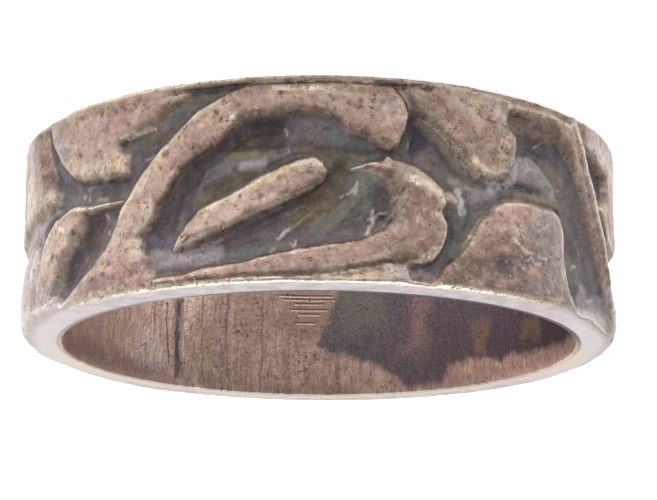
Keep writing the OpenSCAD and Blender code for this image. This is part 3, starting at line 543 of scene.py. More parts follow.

# Tarnish in the hollows, and painted shadow under the tongue, in the same form
HOLLOW_STAINS = [
    # Under the arch
    ("slate", 0.9, 0.6, [(21, 3.4), (16, 2.9), (11, 2.8)]),
    ("violet", 0.95, 0.4, [(17, 2.1), (14.4, 1.66), (11, 1.4)]),
    ("black_brown", 0.9, 0.3, [(14.4, 2.1), (11, 2.1)]),
    ("wine", 0.8, 0.24, [(17.6, 2.24), (15, 2.3)]),
    ("wine", 0.7, 0.14, [(21.4, 2.62), (20, 2.6)]),
    ("lilac_dark", 0.8, 0.34, [(5, 1.5), (0, 1.55), (-3, 1.5)]),
    ("violet", 0.95, 0.14, [(5.9, 1.5), (5.2, 1.8)]),
    ("blue_black", 0.7, 0.06, [(3.6, 1.55), (2.4, 1.8), (0, 1.9)]),
    ("blue_slate", 0.95, 0.28, [(-2.2, 1.8), (-3.6, 2.14), (-8.8, 2.26)]),
    ("wine", 0.9, 0.08, [(1, 2.44), (-6, 2.5), (-9.8, 2.56)]),
    ("olive", 0.9, 0.18, [(3, 2.5), (-3, 2.66), (-5, 2.9), (-4, 3.2)]),
    ("moss", 0.9, 0.15, [(-5.6, 2.62), (-8, 2.72)]),
    ("moss", 0.9, 0.15, [(16.6, 2.62), (12, 2.56), (8.4, 2.6)]),
    ("lilac_grey", 0.95, 0.28, [(13.2, 3.0), (10.4, 2.9)]),
    ("slate", 0.85, 0.14, [(8.4, 2.8), (5, 2.6)]),
    ("rust", 0.85, 0.1, [(15.6, 2.98), (15, 3.2)]),
    ("olive", 0.85, 0.24, [(22.4, 4.2), (19, 3.8), (15.6, 3.5), (12, 3.2)]),
    ("black_brown", 0.7, 0.2, [(20.6, 3.6), (17, 3.4)]),
    ("blue_black", 0.9, 0.3, [(22.6, 3.0), (24.6, 3.5), (26.6, 4.1), (28, 4.7)]),
    ("violet", 0.9, 0.3, [(22.6, 3.1), (24.6, 3.8), (26, 4.5)]),
    ("black_brown", 0.6, 0.1, [(21.4, 3.1), (22.6, 3.4)]),
    ("slate", 0.7, 0.16, [(25, 4.4), (26, 4.8)]),
    ("violet", 0.8, 0.3, [(29.6, 4.2), (29, 4.9)]),
    ("blue_violet", 0.9, 0.24, [(31.6, 5.06), (30, 5.2), (27.6, 5.2)]),
    # Under the tongue: the violet and blue-black bands along its lower edge are painted shadow over the
    # tarnish
    ("violet", 0.97, 0.4, [(17.4, 5.4), (15, 5.33), (11, 5.03), (8, 4.76), (4, 4.36)]),
    ("wine", 0.8, 0.24, [(17, 5.44), (13, 5.34), (9, 5.1)]),
    ("blue_black", 0.8, 0.14, [(12, 4.66), (9, 4.6), (5, 4.24)]),
    ("olive_brown", 0.97, 0.5, [(3.6, 4.7), (1, 4.3), (-1.4, 3.9), (-2.8, 3.4), (-4, 3.0)]),
    ("moss", 0.8, 0.2, [(0, 4.8), (-2.4, 4.6), (-4, 4.3)]),
    ("ochre", 0.4, 0.16, [(-2, 4.2), (1, 4.5)]),
    ("lilac_dark", 0.92, 0.3, [(9, 5.3), (3, 5.36), (-1, 5.2)]),
    ("sage", 0.85, 0.3, [(0.6, 5.04), (-3, 4.75), (-5.6, 4.5), (-7, 4.2)]),
    ("lilac_dark", 0.8, 0.2, [(-3, 5.2), (-6, 5.0)]),
    ("green_slate", 0.9, 0.15, [(25, 5.6), (20, 5.76), (14, 5.8), (8, 5.7)]),
    ("green_slate", 0.6, 0.12, [(10, 5.8), (3, 5.66)]),
    ("lilac_grey", 0.95, 0.42, [(30.8, 5.72), (26, 5.8), (19, 5.72)]),
    ("lilac", 0.6, 0.2, [(28, 5.9), (24, 5.8)]),
    ("blue_violet", 0.7, 0.12, [(30.8, 5.3), (28.6, 5.44)]),
    # In the leaf
    ("sage", 0.95, 0.5, [(-7, 3.1), (-8.2, 3.5), (-7.2, 4.1)]),
    ("green_slate", 0.6, 0.2, [(-9.6, 3.0), (-9.2, 3.5), (-8.4, 4.1)]),
    ("mauve_dark", 0.85, 0.34, [(-11.6, 3.1), (-11.8, 3.8), (-11.4, 4.2)]),
    ("blue_black", 0.85, 0.08, [(-11.6, 4.0), (-12.6, 4.16)]),
    ("blue_black", 0.97, 0.12, [(-9.9, 4.84), (-11, 4.66), (-12.3, 4.36)]),
    ("slate", 0.85, 0.2, [(-8.6, 4.6), (-9.4, 5.0)]),
    # The winding groove beside the leaf
    ("olive", 0.9, 0.16, [(-13.6, 0.3), (-15, 0.75), (-16.8, 1.2)]),
    ("blue_black", 0.98, 0.38, [(-16.8, 1.5), (-18.6, 1.78), (-17.4, 2.1)]),
    ("blue_violet_dark", 0.9, 0.34, [(-17, 1.6), (-19, 1.8), (-18, 2.2)]),
    ("blue_slate", 0.8, 0.2, [(-15.4, 2.3), (-14.2, 2.46)]),
    ("wine", 0.85, 0.13, [(-12.6, 2.5), (-16.6, 2.66)]),
    ("grey", 0.9, 0.34, [(-18.8, 2.52), (-22, 2.85), (-25, 3.18)]),
    ("grey_olive", 0.97, 0.2, [(-18.4, 1.36), (-20.6, 1.8), (-24, 2.4), (-27.6, 3.0)]),
    ("light_grey", 0.8, 0.2, [(-24.4, 3.2), (-28.4, 3.44), (-31, 3.4)]),
    ("wine", 0.9, 0.1, [(-19.6, 1.86), (-21.2, 2.24), (-24.4, 2.8)]),
    ("slate", 0.8, 0.1, [(-18.6, 2.86), (-21, 3.2), (-22.6, 3.46)]),
    ("lilac_pale", 0.85, 0.2, [(-25.7, 3.6), (-26.4, 4.2)]),
    ("lilac_grey", 0.7, 0.2, [(-28.4, 3.7), (-33, 3.34)]),
    ("blue_violet", 0.75, 0.14, [(-29, 4.05), (-32, 3.72)]),
    ("blue_slate", 0.95, 0.26, [(-24.6, 5.36), (-22.8, 5.74)]),
    ("violet", 0.85, 0.1, [(-23.3, 4.2), (-23.6, 5.0)]),
    ("green_grey", 0.9, 0.16, [(-26.4, 5.3), (-28, 4.8), (-29.8, 4.3)]),
    # The hollows at the right
    ("umber", 0.9, 0.26, [(-37.6, 0.95), (-44, 0.95), (-49, 1.0)]),
    ("violet", 0.5, 0.36, [(-39.4, 1.45), (-45, 1.5), (-50, 1.7)]),
    ("blue_violet_dark", 0.6, 0.14, [(-43, 1.55), (-49, 1.65)]),
    ("blue_slate", 0.8, 0.24, [(-49, 2.1), (-52.6, 2.3)]),
    ("green_grey", 0.9, 0.4, [(-51, 2.3), (-56, 2.6)]),
    ("brown", 0.75, 0.26, [(-48.6, 1.9), (-51, 2.3), (-53, 2.9)]),
    ("light_grey", 0.92, 0.4, [(-38.4, 2.3), (-42, 2.3), (-45, 2.6), (-48, 2.84)]),
    ("lilac_grey", 0.7, 0.2, [(-37.6, 2.7), (-43, 2.8)]),
    ("lilac", 0.95, 0.3, [(-32.6, 3.16), (-36.6, 2.94), (-37.0, 2.3)]),
    ("olive_tan", 0.8, 0.17, [(-38, 3.36), (-41, 3.26), (-46, 3.22), (-50, 3.26)]),
    ("wine", 0.6, 0.14, [(-34.6, 3.5), (-37, 3.46)]),
    ("olive", 0.5, 0.1, [(-34, 3.5), (-40, 3.42), (-48, 3.44)]),
    ("warm_grey", 0.95, 0.6, [(-53, 3.0), (-56, 3.8), (-58, 4.6)]),
    ("wine", 0.6, 0.34, [(-53.4, 4.1), (-58, 4.5)]),
    ("warm_grey", 0.9, 0.4, [(-57, 2.5), (-60.6, 3.5), (-64.4, 4.5), (-68, 5.3)]),
    ("umber", 0.5, 0.16, [(-59, 2.6), (-63.4, 3.7), (-67, 4.6)]),
    ("green_grey", 0.95, 0.46, [(-53, 5.1), (-60, 5.4)]),
    ("lilac", 0.5, 0.4, [(-60, 6.2), (-62, 5.8)]),
    ("lilac_grey", 0.9, 0.5, [(-63, 6.4), (-68, 6.1), (-74, 5.8), (-79, 5.6)]),
    ("lilac_pale", 0.9, 0.3, [(-57, 6.7), (-66, 6.6), (-78, 6.5)]),
    ("lilac_dark", 0.9, 0.4, [(-18, 6.3), (-20.4, 6.0), (-22, 5.7)]),
    ("lilac_grey", 0.7, 0.16, [(-14, 6.4), (-18, 6.34), (-20.6, 6.5)]),
    ("violet", 0.95, 0.3, [(-61.6, 1.3), (-66, 1.55), (-70, 1.95)]),
    ("slate", 0.9, 0.26, [(-64, 2.0), (-70, 2.2)]),
    # The hollows at the left
    ("slate", 0.92, 0.4, [(33.4, 1.7), (30.2, 1.4), (27.6, 1.16), (25.6, 1.0)]),
    ("green_grey", 0.95, 0.24, [(24.6, 0.7), (20.4, 0.62), (17.4, 0.48)]),
    ("light_grey", 0.5, 0.2, [(27, 0.8), (24.8, 0.6)]),
    ("lilac_dark", 0.95, 0.44, [(36.6, 1.9), (36, 2.6)]),
    ("olive", 0.8, 0.28, [(32.6, 1.72), (29.6, 1.7)]),
    ("green_grey", 0.9, 0.24, [(40, 3.2), (37, 3.3)]),
    ("blue_black", 0.6, 0.34, [(38, 3.0), (44, 3.1)]),
    ("warm_grey", 0.9, 0.3, [(46, 3.05), (53, 2.95)]),
    ("green_grey", 0.95, 0.34, [(52.6, 3.0), (58, 3.1)]),
    ("wine", 0.85, 0.22, [(60.6, 2.3), (56, 2.5)]),
    ("blue_black", 0.6, 0.16, [(54.8, 2.5), (52.8, 2.76)]),
    ("violet", 0.9, 0.3, [(63, 0.3), (62, 1.0), (60.4, 1.4)]),
    ("blue_slate", 0.95, 0.26, [(60, 1.6), (58.4, 1.9), (56.4, 2.1)]),
    ("blue_violet", 0.7, 0.1, [(57.4, 2.0), (54.4, 2.4), (53, 2.6)]),
    ("lilac", 0.9, 0.5, [(60, 2.9), (66, 3.4), (74, 3.6), (86, 3.9)]),
    ("lilac_grey", 0.95, 0.5, [(66, 4.1), (74, 4.2), (86, 4.5)]),
    ("pale", 0.6, 0.16, [(67, 4.6), (68.6, 4.9), (68, 5.2)]),
    ("brown", 0.6, 0.3, [(43.8, 4.0), (46, 4.3), (47.8, 4.6)]),
    ("wine", 0.9, 0.3, [(48.6, 4.76), (46, 4.9)]),
    ("lilac_dark", 0.95, 0.4, [(50.6, 5.2), (53, 5.6), (55, 6.0)]),
    ("blue_slate", 0.8, 0.2, [(51.4, 5.3), (53.6, 5.6)]),
    ("grey", 0.9, 0.26, [(40, 4.2), (42.6, 4.7), (46.4, 5.3), (50, 6.0)]),
    ("grey", 0.9, 0.26, [(64, 4.3), (65.6, 4.9), (66.6, 5.5)]),
]

# Flat areas of tarnish in the hollows: colour, strength, width of the soft edge, then an outline of
# angles and heights
HOLLOW_AREAS = [
    ("black_brown", 0.95, 0.14, [
        (16.4, 2.45), (14, 1.85), (12, 1.5), (6.3, 1.42), (6.1, 2.0), (6.6, 2.4), (8, 2.5), (12, 2.46),
    ]),
    ("warm_grey", 0.95, 0.07, [(6.1, 1.93), (2, 1.97), (-1.6, 1.95), (-1.8, 2.36), (2, 2.38), (6.1, 2.38)]),
]

# Marks on metal and in hollows alike: colour, strength, half width, run
MARKS = [
    ("pale", 0.95, 0.1, [(38, 0.1), (26, 0.06), (15, 0.04)]),
    ("brown", 0.95, 0.12, [(-17, 0.1), (-26, 0.07), (-36, 0.07), (-45, 0.1)]),
    ("brown", 0.6, 0.06, [(7, 0.06), (-7, 0.06)]),
    ("wine", 0.9, 0.06, [(27, 0.3), (20, 0.3), (14, 0.27), (0, 0.24), (-10, 0.25), (-20, 0.28)]),
    ("rust_black", 0.9, 0.06, [
        (31, 6.64), (12, 6.61), (2, 6.56), (-4, 6.42), (-8, 6.3), (-12, 6.13), (-14, 6.08),
    ]),
    ("brown", 0.7, 0.07, [(8, 6.52), (0, 6.48), (-6, 6.3), (-12, 6.03)]),
    ("blue_black", 0.9, 0.06, [(-15.8, 6.17), (-18, 6.2)]),
    ("lilac", 0.7, 0.06, [(27.2, 5.6), (24, 5.46), (20.6, 5.28), (16, 5.02), (11, 4.64), (6, 4.24)]),
    ("lilac", 0.6, 0.12, [(26.6, 5.62), (22.6, 5.46), (18, 5.24)]),
    ("pale", 0.95, 0.06, [(7.3, 5.36), (5.5, 5.1)]),
    ("moss_light", 0.9, 0.045, [(5.5, 5.1), (3.4, 4.84), (1.5, 4.63)]),
    ("moss_light", 0.8, 0.04, [(5.7, 4.5), (3.4, 4.4), (1.2, 4.35)]),
    ("pale", 0.8, 0.05, [(4.3, 5.42), (4.2, 5.72)]),
    ("lilac", 0.7, 0.05, [(5.3, 5.45), (4.6, 5.6)]),
    ("lilac", 0.7, 0.06, [(9, 5.85), (8, 5.72)]),
    ("pale", 0.8, 0.045, [(-3.4, 4.01), (-4.6, 3.94), (-5.8, 3.82)]),
    ("pale", 0.7, 0.05, [(-6.1, 3.9), (-6.5, 3.56)]),
    ("pale", 0.6, 0.04, [(-6.1, 4.0), (-6.7, 3.8)]),
    ("pale", 0.95, 0.07, [(-9.2, 4.4), (-9.5, 4.85)]),
    ("pale", 0.9, 0.05, [(-8.6, 4.65), (-9.8, 4.6)]),
    ("pale", 0.9, 0.04, [(-10.2, 4.6), (-12.4, 4.42)]),
    ("pale", 0.95, 0.08, [(-9, 4.95), (-8, 5.25)]),
    ("lilac", 0.8, 0.07, [(-16.1, 2.1), (-16.3, 2.26)]),
    ("pale", 0.8, 0.05, [(5.4, 2.4), (5.3, 2.44)]),
    ("pale", 0.7, 0.05, [(5.9, 1.92), (6.1, 1.78)]),
    ("cream", 0.9, 0.05, [(16.2, 1.44), (15, 1.3), (14.5, 1.2)]),
    ("cream", 0.8, 0.05, [(23, 1.24), (21.8, 1.08)]),
    ("light_tan", 0.8, 0.05, [(25, 1.86), (23, 1.62), (21.6, 1.5)]),
    ("cream", 0.8, 0.05, [(-15.4, 3.4), (-15.6, 3.42)]),
    ("cream", 0.9, 0.06, [(-16.2, 3.42), (-17, 3.45)]),
    ("cream", 0.7, 0.05, [(-20.2, 3.4), (-21.4, 3.6)]),
    ("pale", 0.85, 0.05, [(-30.6, 3.03), (-32, 3.02)]),
    ("pale", 0.85, 0.05, [(-32.8, 3.0), (-33.8, 2.98)]),
    ("pale", 0.75, 0.05, [(-34.4, 2.86), (-35.6, 2.82)]),
    ("blue_black", 0.85, 0.05, [(-28, 3.22), (-31, 3.2), (-34, 3.14)]),
    ("rust", 0.8, 0.06, [(-28.8, 0.86), (-30, 0.98), (-32.6, 1.04)]),
    ("rust", 0.7, 0.05, [(-26, 0.56), (-25.2, 0.52)]),
    ("rust", 0.7, 0.035, [(-7.8, 0.76), (-8.6, 0.7), (-9.6, 0.74)]),
    ("rust", 0.9, 0.07, [(-37, 0.6), (-40, 0.6), (-44, 0.47)]),
    ("cream", 0.8, 0.06, [(-36, 0.42), (-40, 0.48), (-43, 0.36), (-46, 0.38), (-49, 0.42), (-54, 0.42)]),
    ("lilac", 0.7, 0.06, [(-42.5, 0.76), (-43.6, 0.7)]),
    ("rust_black", 0.8, 0.05, [(-40, 1.02), (-43, 1.1), (-46.6, 1.08)]),
    ("pale", 0.8, 0.05, [(-45.2, 1.34), (-46.4, 1.22)]),
    ("lilac", 0.9, 0.07, [(-39.4, 2.3), (-40.8, 2.22), (-40.4, 2.46), (-42.6, 2.42)]),
    ("rust", 0.7, 0.06, [(-44, 1.94), (-45.4, 1.92)]),
    ("blue_black", 0.95, 0.05, [
        (-34.4, 3.36), (-35.4, 3.2), (-37.4, 3.12), (-40, 3.02), (-42.6, 3.04), (-44.6, 3.12),
    ]),
    ("pale", 0.6, 0.04, [(-36.6, 2.96), (-38, 2.9)]),
    ("cream", 0.8, 0.05, [(-22.6, 1.86), (-24.4, 2.16), (-25.6, 2.4)]),
    ("cream", 0.8, 0.05, [(-26.4, 2.5), (-27.4, 2.72), (-28.8, 2.98)]),
    ("brown", 0.7, 0.06, [(62, 0.04), (30, 0.05), (0, 0.05), (-30, 0.05), (-60, 0.04)]),
    ("pale", 0.8, 0.04, [(-50.6, 2.72), (-52.6, 2.7)]),
    ("brown", 0.8, 0.045, [(-20, 6.46), (-26, 6.5), (-31, 6.48), (-36, 6.42), (-42, 6.46), (-48, 6.56)]),
    ("pale", 0.9, 0.055, [(-36.7, 4.92), (-38.5, 5.2), (-40.9, 5.3)]),
    ("pale", 0.8, 0.04, [(-38.6, 5.44), (-39.8, 5.56), (-40.6, 5.44), (-41.6, 5.6)]),
    ("pale", 0.7, 0.04, [(-37.4, 5.66), (-38.6, 5.76)]),
    ("blue_black", 0.7, 0.05, [(-37.6, 5.36), (-39, 5.5), (-40, 5.7)]),
    ("pale", 0.7, 0.05, [(-36.4, 4.9), (-36.8, 5.06)]),
    ("pale", 0.7, 0.06, [(-42.4, 5.3), (-44.6, 5.3)]),
    ("pale", 0.6, 0.06, [(-42, 5.6), (-43.4, 5.52)]),
    ("pale", 0.6, 0.06, [(-43.8, 4.3), (-45.2, 4.2)]),
    ("blush", 0.7, 0.07, [(-36, 4.2), (-37.4, 4.36)]),
    ("cream", 0.7, 0.07, [(-37.2, 4.62), (-37.8, 4.5)]),
    ("pale", 0.9, 0.06, [(-57, 5.14), (-58.4, 5.08)]),
    ("pale", 0.8, 0.06, [(-63.4, 6.02), (-66.4, 5.92)]),
    ("blue_black", 0.7, 0.05, [(-63, 6.54), (-69, 6.46)]),
    ("pale", 0.7, 0.035, [(33.2, 2.4), (31, 2.28)]),
    ("moss_light", 0.7, 0.03, [(24.6, 0.98), (23, 0.76)]),
    ("blue_black", 0.8, 0.05, [(56.6, 3.4), (54, 3.28), (51.4, 3.18)]),
    ("blue_black", 0.8, 0.06, [(58.6, 3.06), (57, 3.2)]),
    ("blue_black", 0.95, 0.06, [(50, 2.8), (44, 2.93), (38.5, 3.0)]),
    ("pale", 0.85, 0.06, [(50.6, 2.96), (49.8, 3.02)]),
    ("pale", 0.7, 0.05, [(48.8, 3.1), (48, 3.26)]),
    ("lilac_grey", 0.8, 0.06, [(49, 2.84), (46.8, 2.84)]),
    ("lilac", 0.9, 0.09, [(45.6, 3.32), (43.4, 3.34)]),
    ("green_grey", 0.7, 0.06, [(52, 3.36), (44, 3.42), (39, 3.5)]),
    ("pale", 0.85, 0.06, [(43.4, 3.94), (42.8, 3.99)]),
    ("pale", 0.85, 0.06, [(43, 4.46), (42.6, 4.5)]),
    ("cream", 0.95, 0.06, [(55.4, 4.08), (53.6, 4.17)]),
    ("violet", 0.6, 0.09, [(39.2, 1.82), (38.4, 1.66)]),
    ("blue_black", 0.8, 0.07, [(39, 1.84), (37.4, 1.62)]),
]


def smooth(t):
    """0 below 0, 1 above 1, and a smooth rise between."""
    t = np.clip(t, 0.0, 1.0)
    return t * t * (3 - 2 * t)


# Rows of the noise's lattice, and how many of them lie below the resting rim
LATTICE_ROWS = 512
LATTICE_BELOW = 100


def lattice_noise(x, z, cell, seed):
    """Smooth noise from -1 to 1 that closes round the band. x and z are in mm on the unrolled band."""
    across = max(3, round(TURN_MM / cell))
    u = (x / TURN_MM) % 1.0 * across
    v = z / cell + LATTICE_BELOW
    i, j = np.floor(u).astype(int), np.floor(v).astype(int)
    su, sv = smooth(u - i), smooth(v - j)
    values = np.random.default_rng(seed).uniform(-1, 1, (across, LATTICE_ROWS))
    i0, i1, j0, j1 = i % across, (i + 1) % across, j % LATTICE_ROWS, (j + 1) % LATTICE_ROWS
    low = values[i0, j0] * (1 - su) + values[i1, j0] * su
    high = values[i0, j1] * (1 - su) + values[i1, j1] * su
    return low * (1 - sv) + high * sv


def noise_sum(x, z, rows):
    """Sum of noises, from a table of how much each adds at most, its cell in mm and its seed."""
    return sum(most * lattice_noise(x, z, cell, seed) for most, cell, seed in rows)


def along_link(x, z, start, end):
    """Share of the way along a link, distance from it, and which side of it, for every place."""
    x0, x1 = start[0] * MM_PER_DEG, end[0] * MM_PER_DEG
    dx, dz = x1 - x0, end[1] - start[1]
    t = np.clip(((x - x0) * dx + (z - start[1]) * dz) / (dx * dx + dz * dz), 0, 1)
    off = np.hypot(x - x0 - t * dx, z - start[1] - t * dz)
    side = (x - x0) * dz - (z - start[1]) * dx
    return t, off, side


# How far a fillet spreads where two forms of the relief cross, as a share of RELIEF_H
CROSSING = 0.16


def soft_max(a, b):
    """The larger of two reliefs, with a fillet where they cross above the floor."""
    near = np.clip(CROSSING - np.abs(a - b), 0, None) ** 2 / (4 * CROSSING)
    return np.maximum(a, b) + near * np.clip(np.minimum(a, b) / CROSSING, 0, 1)


def bar_share(x, z, left_slope, right_slope, stations):
    """Relief of a bar, which is crowned across its run and slopes down on both sides."""
    out = np.zeros_like(x)
    for start, end in zip(stations[:-1], stations[1:]):
        t, off, side = along_link(x, z, start, end)
        half_w = start[2] + (end[2] - start[2]) * t
        crest = start[3] + (end[3] - start[3]) * t
        slope = np.where(side > 0, left_slope, right_slope)
        crown = np.where(side > 0, LEFT_CROWN, RIGHT_CROWN)
        rise = smooth((half_w - off) / slope + 0.5)
        out = np.maximum(out, crest * rise * (1 - crown * np.minimum(1, off / half_w) ** 2))
    return out


def stroke_share(x, z, half_w, run, plateau=1.0):
    """1 along a run of places, 0 from half_w away. A plateau above 1 keeps the middle full."""
    out = np.zeros_like(x)
    for start, end in zip(run[:-1], run[1:]):
        out = np.maximum(out, smooth(plateau * (1 - along_link(x, z, start, end)[1] / half_w)))
    return out


def outline_share(x, z, slope, outline):
    """1 inside an outline, 0 outside it, with a slope between, and how far inside each place lies."""
    near = np.full(x.shape, np.inf)
    rise = np.full(x.shape, np.inf)
    inside = np.zeros(x.shape, bool)
    for start, end in zip(outline, outline[1:] + outline[:1]):
        off = along_link(x, z, start, end)[1]
        near = np.minimum(near, off)
        rise = np.minimum(rise, off / (start[2] if len(start) > 2 else slope))
        x0, x1 = start[0] * MM_PER_DEG, end[0] * MM_PER_DEG
        if x0 != x1:
            inside ^= ((x0 > x) != (x1 > x)) & (z < start[1] + (end[1] - start[1]) * (x - x0) / (x1 - x0))
    return smooth(np.where(inside, rise, -rise) + 0.5), np.where(inside, near, 0)


def pad_share(x, z, crest, slope, outline):
    """Relief of a pad, which is rounded towards its edge."""
    share, depth = outline_share(x, z, slope, outline)
    drop = PAD_DROP * (1 - np.clip(depth / PAD_ROUND, 0, 1)) ** 2
    return crest * share * (1 - drop)


# How far round the band from its rows a form can reach, in mm
FORM_REACH = 1.6


def near_columns(x, rows):
    """Columns of a raster that a form can reach. The form's rows start with an angle."""
    angles = [row[0] for row in rows]
    low, high = min(angles) * MM_PER_DEG - FORM_REACH, max(angles) * MM_PER_DEG + FORM_REACH
    return (x[:, 0] > low) & (x[:, 0] < high)


def drawn_twice(x):
    """Place round the band measured from the drawn group, and then from its copy half a turn on."""
    for turn in (0.0, HALF_TURN):
        yield (x - turn * MM_PER_DEG + TURN_MM / 2) % TURN_MM - TURN_MM / 2


def lip_share(angle, which):
    """Height of a rim's lip. The table spans half a turn and comes twice round."""
    rows = sorted(LIPS)
    quarter = HALF_TURN / 2
    angles, heights = [row[0] for row in rows], [row[which] for row in rows]
    return np.interp((angle + quarter) % HALF_TURN - quarter, angles, heights)


def lay_pads(out, pads, x, z):
    """Lays a table of pads over a relief."""
    for crest, slope, outline in pads.values():
        near = near_columns(x, outline)
        out[near] = soft_max(out[near], pad_share(x[near], z[near], crest, slope, outline))


def relief_share(x, z):
    """Relief at every place of two rasters, as a share of RELIEF_H: of the metal, then with the shelves."""
    out = np.zeros_like(x)
    for shifted in drawn_twice(x):
        for left, right, stations in BARS.values():
            near = near_columns(shifted, stations)
            out[near] = soft_max(out[near], bar_share(shifted[near], z[near], left, right, stations))
        lay_pads(out, PADS, shifted, z)
    angle = x / MM_PER_DEG
    low_lip, far_lip = lip_share(angle, 1), lip_share(angle, 2)
    out = soft_max(out, low_lip * smooth((LOW_LIP_H - z) / LIP_SLOPE_W + 0.5))
    out = soft_max(out, far_lip * smooth((z - BAND_H + FAR_LIP_H) / LIP_SLOPE_W + 0.5))
    most = np.minimum(low_lip + RIM_CLIMB * z, far_lip + RIM_CLIMB * (BAND_H - z))
    metal = np.minimum(out, most)
    for shifted in drawn_twice(x):
        lay_pads(out, SHELVES, shifted, z)
    return metal, np.minimum(out, most)


def oval(x, z, angle, height, half_length, half_width, lean):
    """1 at the middle of an oval, 0 at its edge and beyond."""
    dx, dz = x - angle * MM_PER_DEG, z - height
    c, s = math.cos(math.radians(lean)), math.sin(math.radians(lean))
    along, across = (dx * c + dz * s) / half_length, (dz * c - dx * s) / half_width
    return np.clip(1 - np.hypot(along, across), 0, 1)


def pits(x, z):
    """1 in the middle of each small pit, 0 outside them."""
    out = np.zeros_like(x)
    for angle, height, half_w in PITS:
        near = np.abs(x[:, 0] - angle * MM_PER_DEG) < 2 * half_w
        pit = oval(x[near], z[near], angle, height, PIT_LENGTH * half_w, half_w, PIT_LEAN)
        out[near] = np.maximum(out[near], smooth(PIT_STEEP * pit))
    return out


def add_small_forms(share, x, z):
    """Adds the strokes, swells and pits to a relief."""
    for shifted in drawn_twice(x):
        for rise, half_w, run in STROKES:
            near = near_columns(shifted, run)
            share[near] += rise * stroke_share(shifted[near], z[near], half_w, run)
        for angle, height, length, width, lean, rise in SWELLS:
            near = near_columns(shifted, [(angle, height)])
            share[near] += rise * smooth(oval(shifted[near], z[near], angle, height, length, width, lean))
        share -= PIT_DEPTH * pits(shifted, z)
    return share


def lay_over(tint, cover, over, name):
    """Lays a colour over a tint and its cover. over is how much it covers at each place."""
    full = over + cover * (1 - over)
    part = np.divide(over, full, out=np.zeros_like(full), where=full > 0)[..., None]
    return tint * (1 - part) + np.array(COLOURS[name][:3]) * part, full


def stain_layer(rows, x, z, tint, cover, is_area=False):
    """Lays a table of stains over a tint and its cover. Each is a run, or the outline of an area."""
    for shifted in drawn_twice(x):
        for name, strength, width, places in rows:
            near = near_columns(shifted, places)
            if is_area:
                share = outline_share(shifted[near], z[near], width, places)[0]
            else:
                share = stroke_share(shifted[near], z[near], width, places, STAIN_EDGE)
            tint[near], cover[near] = lay_over(tint[near], cover[near], strength * share, name)


def stains(x, z, raised):
    """Colour of the stains on two rasters, in linear RGB, and how much they cover."""
    layers = []
    for rows, areas in ((HOLLOW_STAINS, HOLLOW_AREAS), (METAL_STAINS, [])):
        tint, cover = np.full(x.shape + (3,), BARE_TINT), np.zeros_like(x)
        stain_layer(rows, x, z, tint, cover)
        stain_layer(areas, x, z, tint, cover, is_area=True)
        layers.append((tint, cover))
    (low_tint, low_cover), (high_tint, high_cover) = layers
    tint = low_tint + (high_tint - low_tint) * raised[..., None]
    cover = low_cover + (high_cover - low_cover) * raised
    stain_layer(MARKS, x, z, tint, cover)
    for shifted in drawn_twice(x):
        tint, cover = lay_over(tint, cover, PIT_STAIN * pits(shifted, z), "rust")
    return tint, cover


def worn_and_lit_edges(x, z):
    """How bright the charted edges are at every place, from 0 to 1: partly wear, partly painted highlight."""
    out = np.zeros_like(x)
    for shifted in drawn_twice(x):
        for strength, half_w, run in WORN_AND_LIT_EDGES:
            near = near_columns(shifted, run)
            out[near] = np.maximum(out[near], strength * stroke_share(shifted[near], z[near], half_w, run))
    return out


# The raster on which the relief is worked out: mm between its points, and mm that it runs past the rims
RASTER_STEP = 0.03
RASTER_PAST = 0.36
RASTER_X = np.arange(round(TURN_MM / RASTER_STEP)) * RASTER_STEP - TURN_MM / 2
RASTER_Z = np.arange(-RASTER_PAST, BAND_H + RASTER_PAST, RASTER_STEP)


def blurred(field, sigma):
    """Gaussian blur of a raster that closes round the band. sigma is in mm."""
    reach = int(3 * sigma / RASTER_STEP) + 1
    steps = np.arange(-reach, reach + 1)
    weights = np.exp(-0.5 * (steps * RASTER_STEP / sigma) ** 2)
    weights /= weights.sum()
    round_band = sum(w * np.roll(field, int(s), axis=0) for s, w in zip(steps, weights))
    padded = np.pad(round_band, ((0, 0), (reach, reach)), mode="edge")
    rows = field.shape[1]
    return sum(w * padded[:, reach + s:reach + s + rows] for s, w in zip(steps, weights))


def sampled(field, angle, z):
    """Value of a raster between its points."""
    columns, rows = field.shape
    u = (angle * MM_PER_DEG + TURN_MM / 2) % TURN_MM / RASTER_STEP
    v = np.clip((z + RASTER_PAST) / RASTER_STEP, 0, rows - 1.001)
    i, j = np.floor(u).astype(int), np.floor(v).astype(int)
    fu, fv = u - i, v - j
    i0, i1 = i % columns, (i + 1) % columns
    low = field[i0, j] * (1 - fu) + field[i1, j] * fu
    high = field[i0, j + 1] * (1 - fu) + field[i1, j + 1] * fu
    return low * (1 - fv) + high * fv


# Noises as mm at most, cell in mm and seed: how the drawn forms and the stains wander
# round the band and up it, and how rough the cast surface is
FORM_WANDER = [(0.05, 0.9, 1), (0.025, 0.32, 2)]
FORM_WANDER_UP = [(0.05, 0.9, 3), (0.025, 0.32, 4)]
ROUGHNESS = [(0.018, 0.55, 5), (0.013, 0.24, 6), (0.007, 0.12, 7)]
STAIN_WANDER = [(0.06, 0.5, 8), (0.05, 0.16, 9)]
STAIN_WANDER_UP = [(0.06, 0.5, 10), (0.05, 0.16, 11)]
# Charted edges, worn and partly painted highlight, wander by this share of what the stains do, and ridges add
# this much wear to them
EDGE_WANDER = 0.4
RIDGE_WEAR = 0.45
# Share of RELIEF_H at which metal takes over from tarnish, and how softly
METAL_FROM = 0.4
METAL_BLEND = 0.22
# The relief falls this steeply past the rims, so that their edges count as ridges
PAST_RIM_FALL = 2.0
# Ridges and creases stand off the blurred relief: the blur in mm, the mm that count as full,
# and the share in the wear of ridges and in the painted shade of creases
EDGE_SCALES = [(0.09, 0.035, 0.6, 0.5), (0.26, 0.12, 0.6, 0.7)]


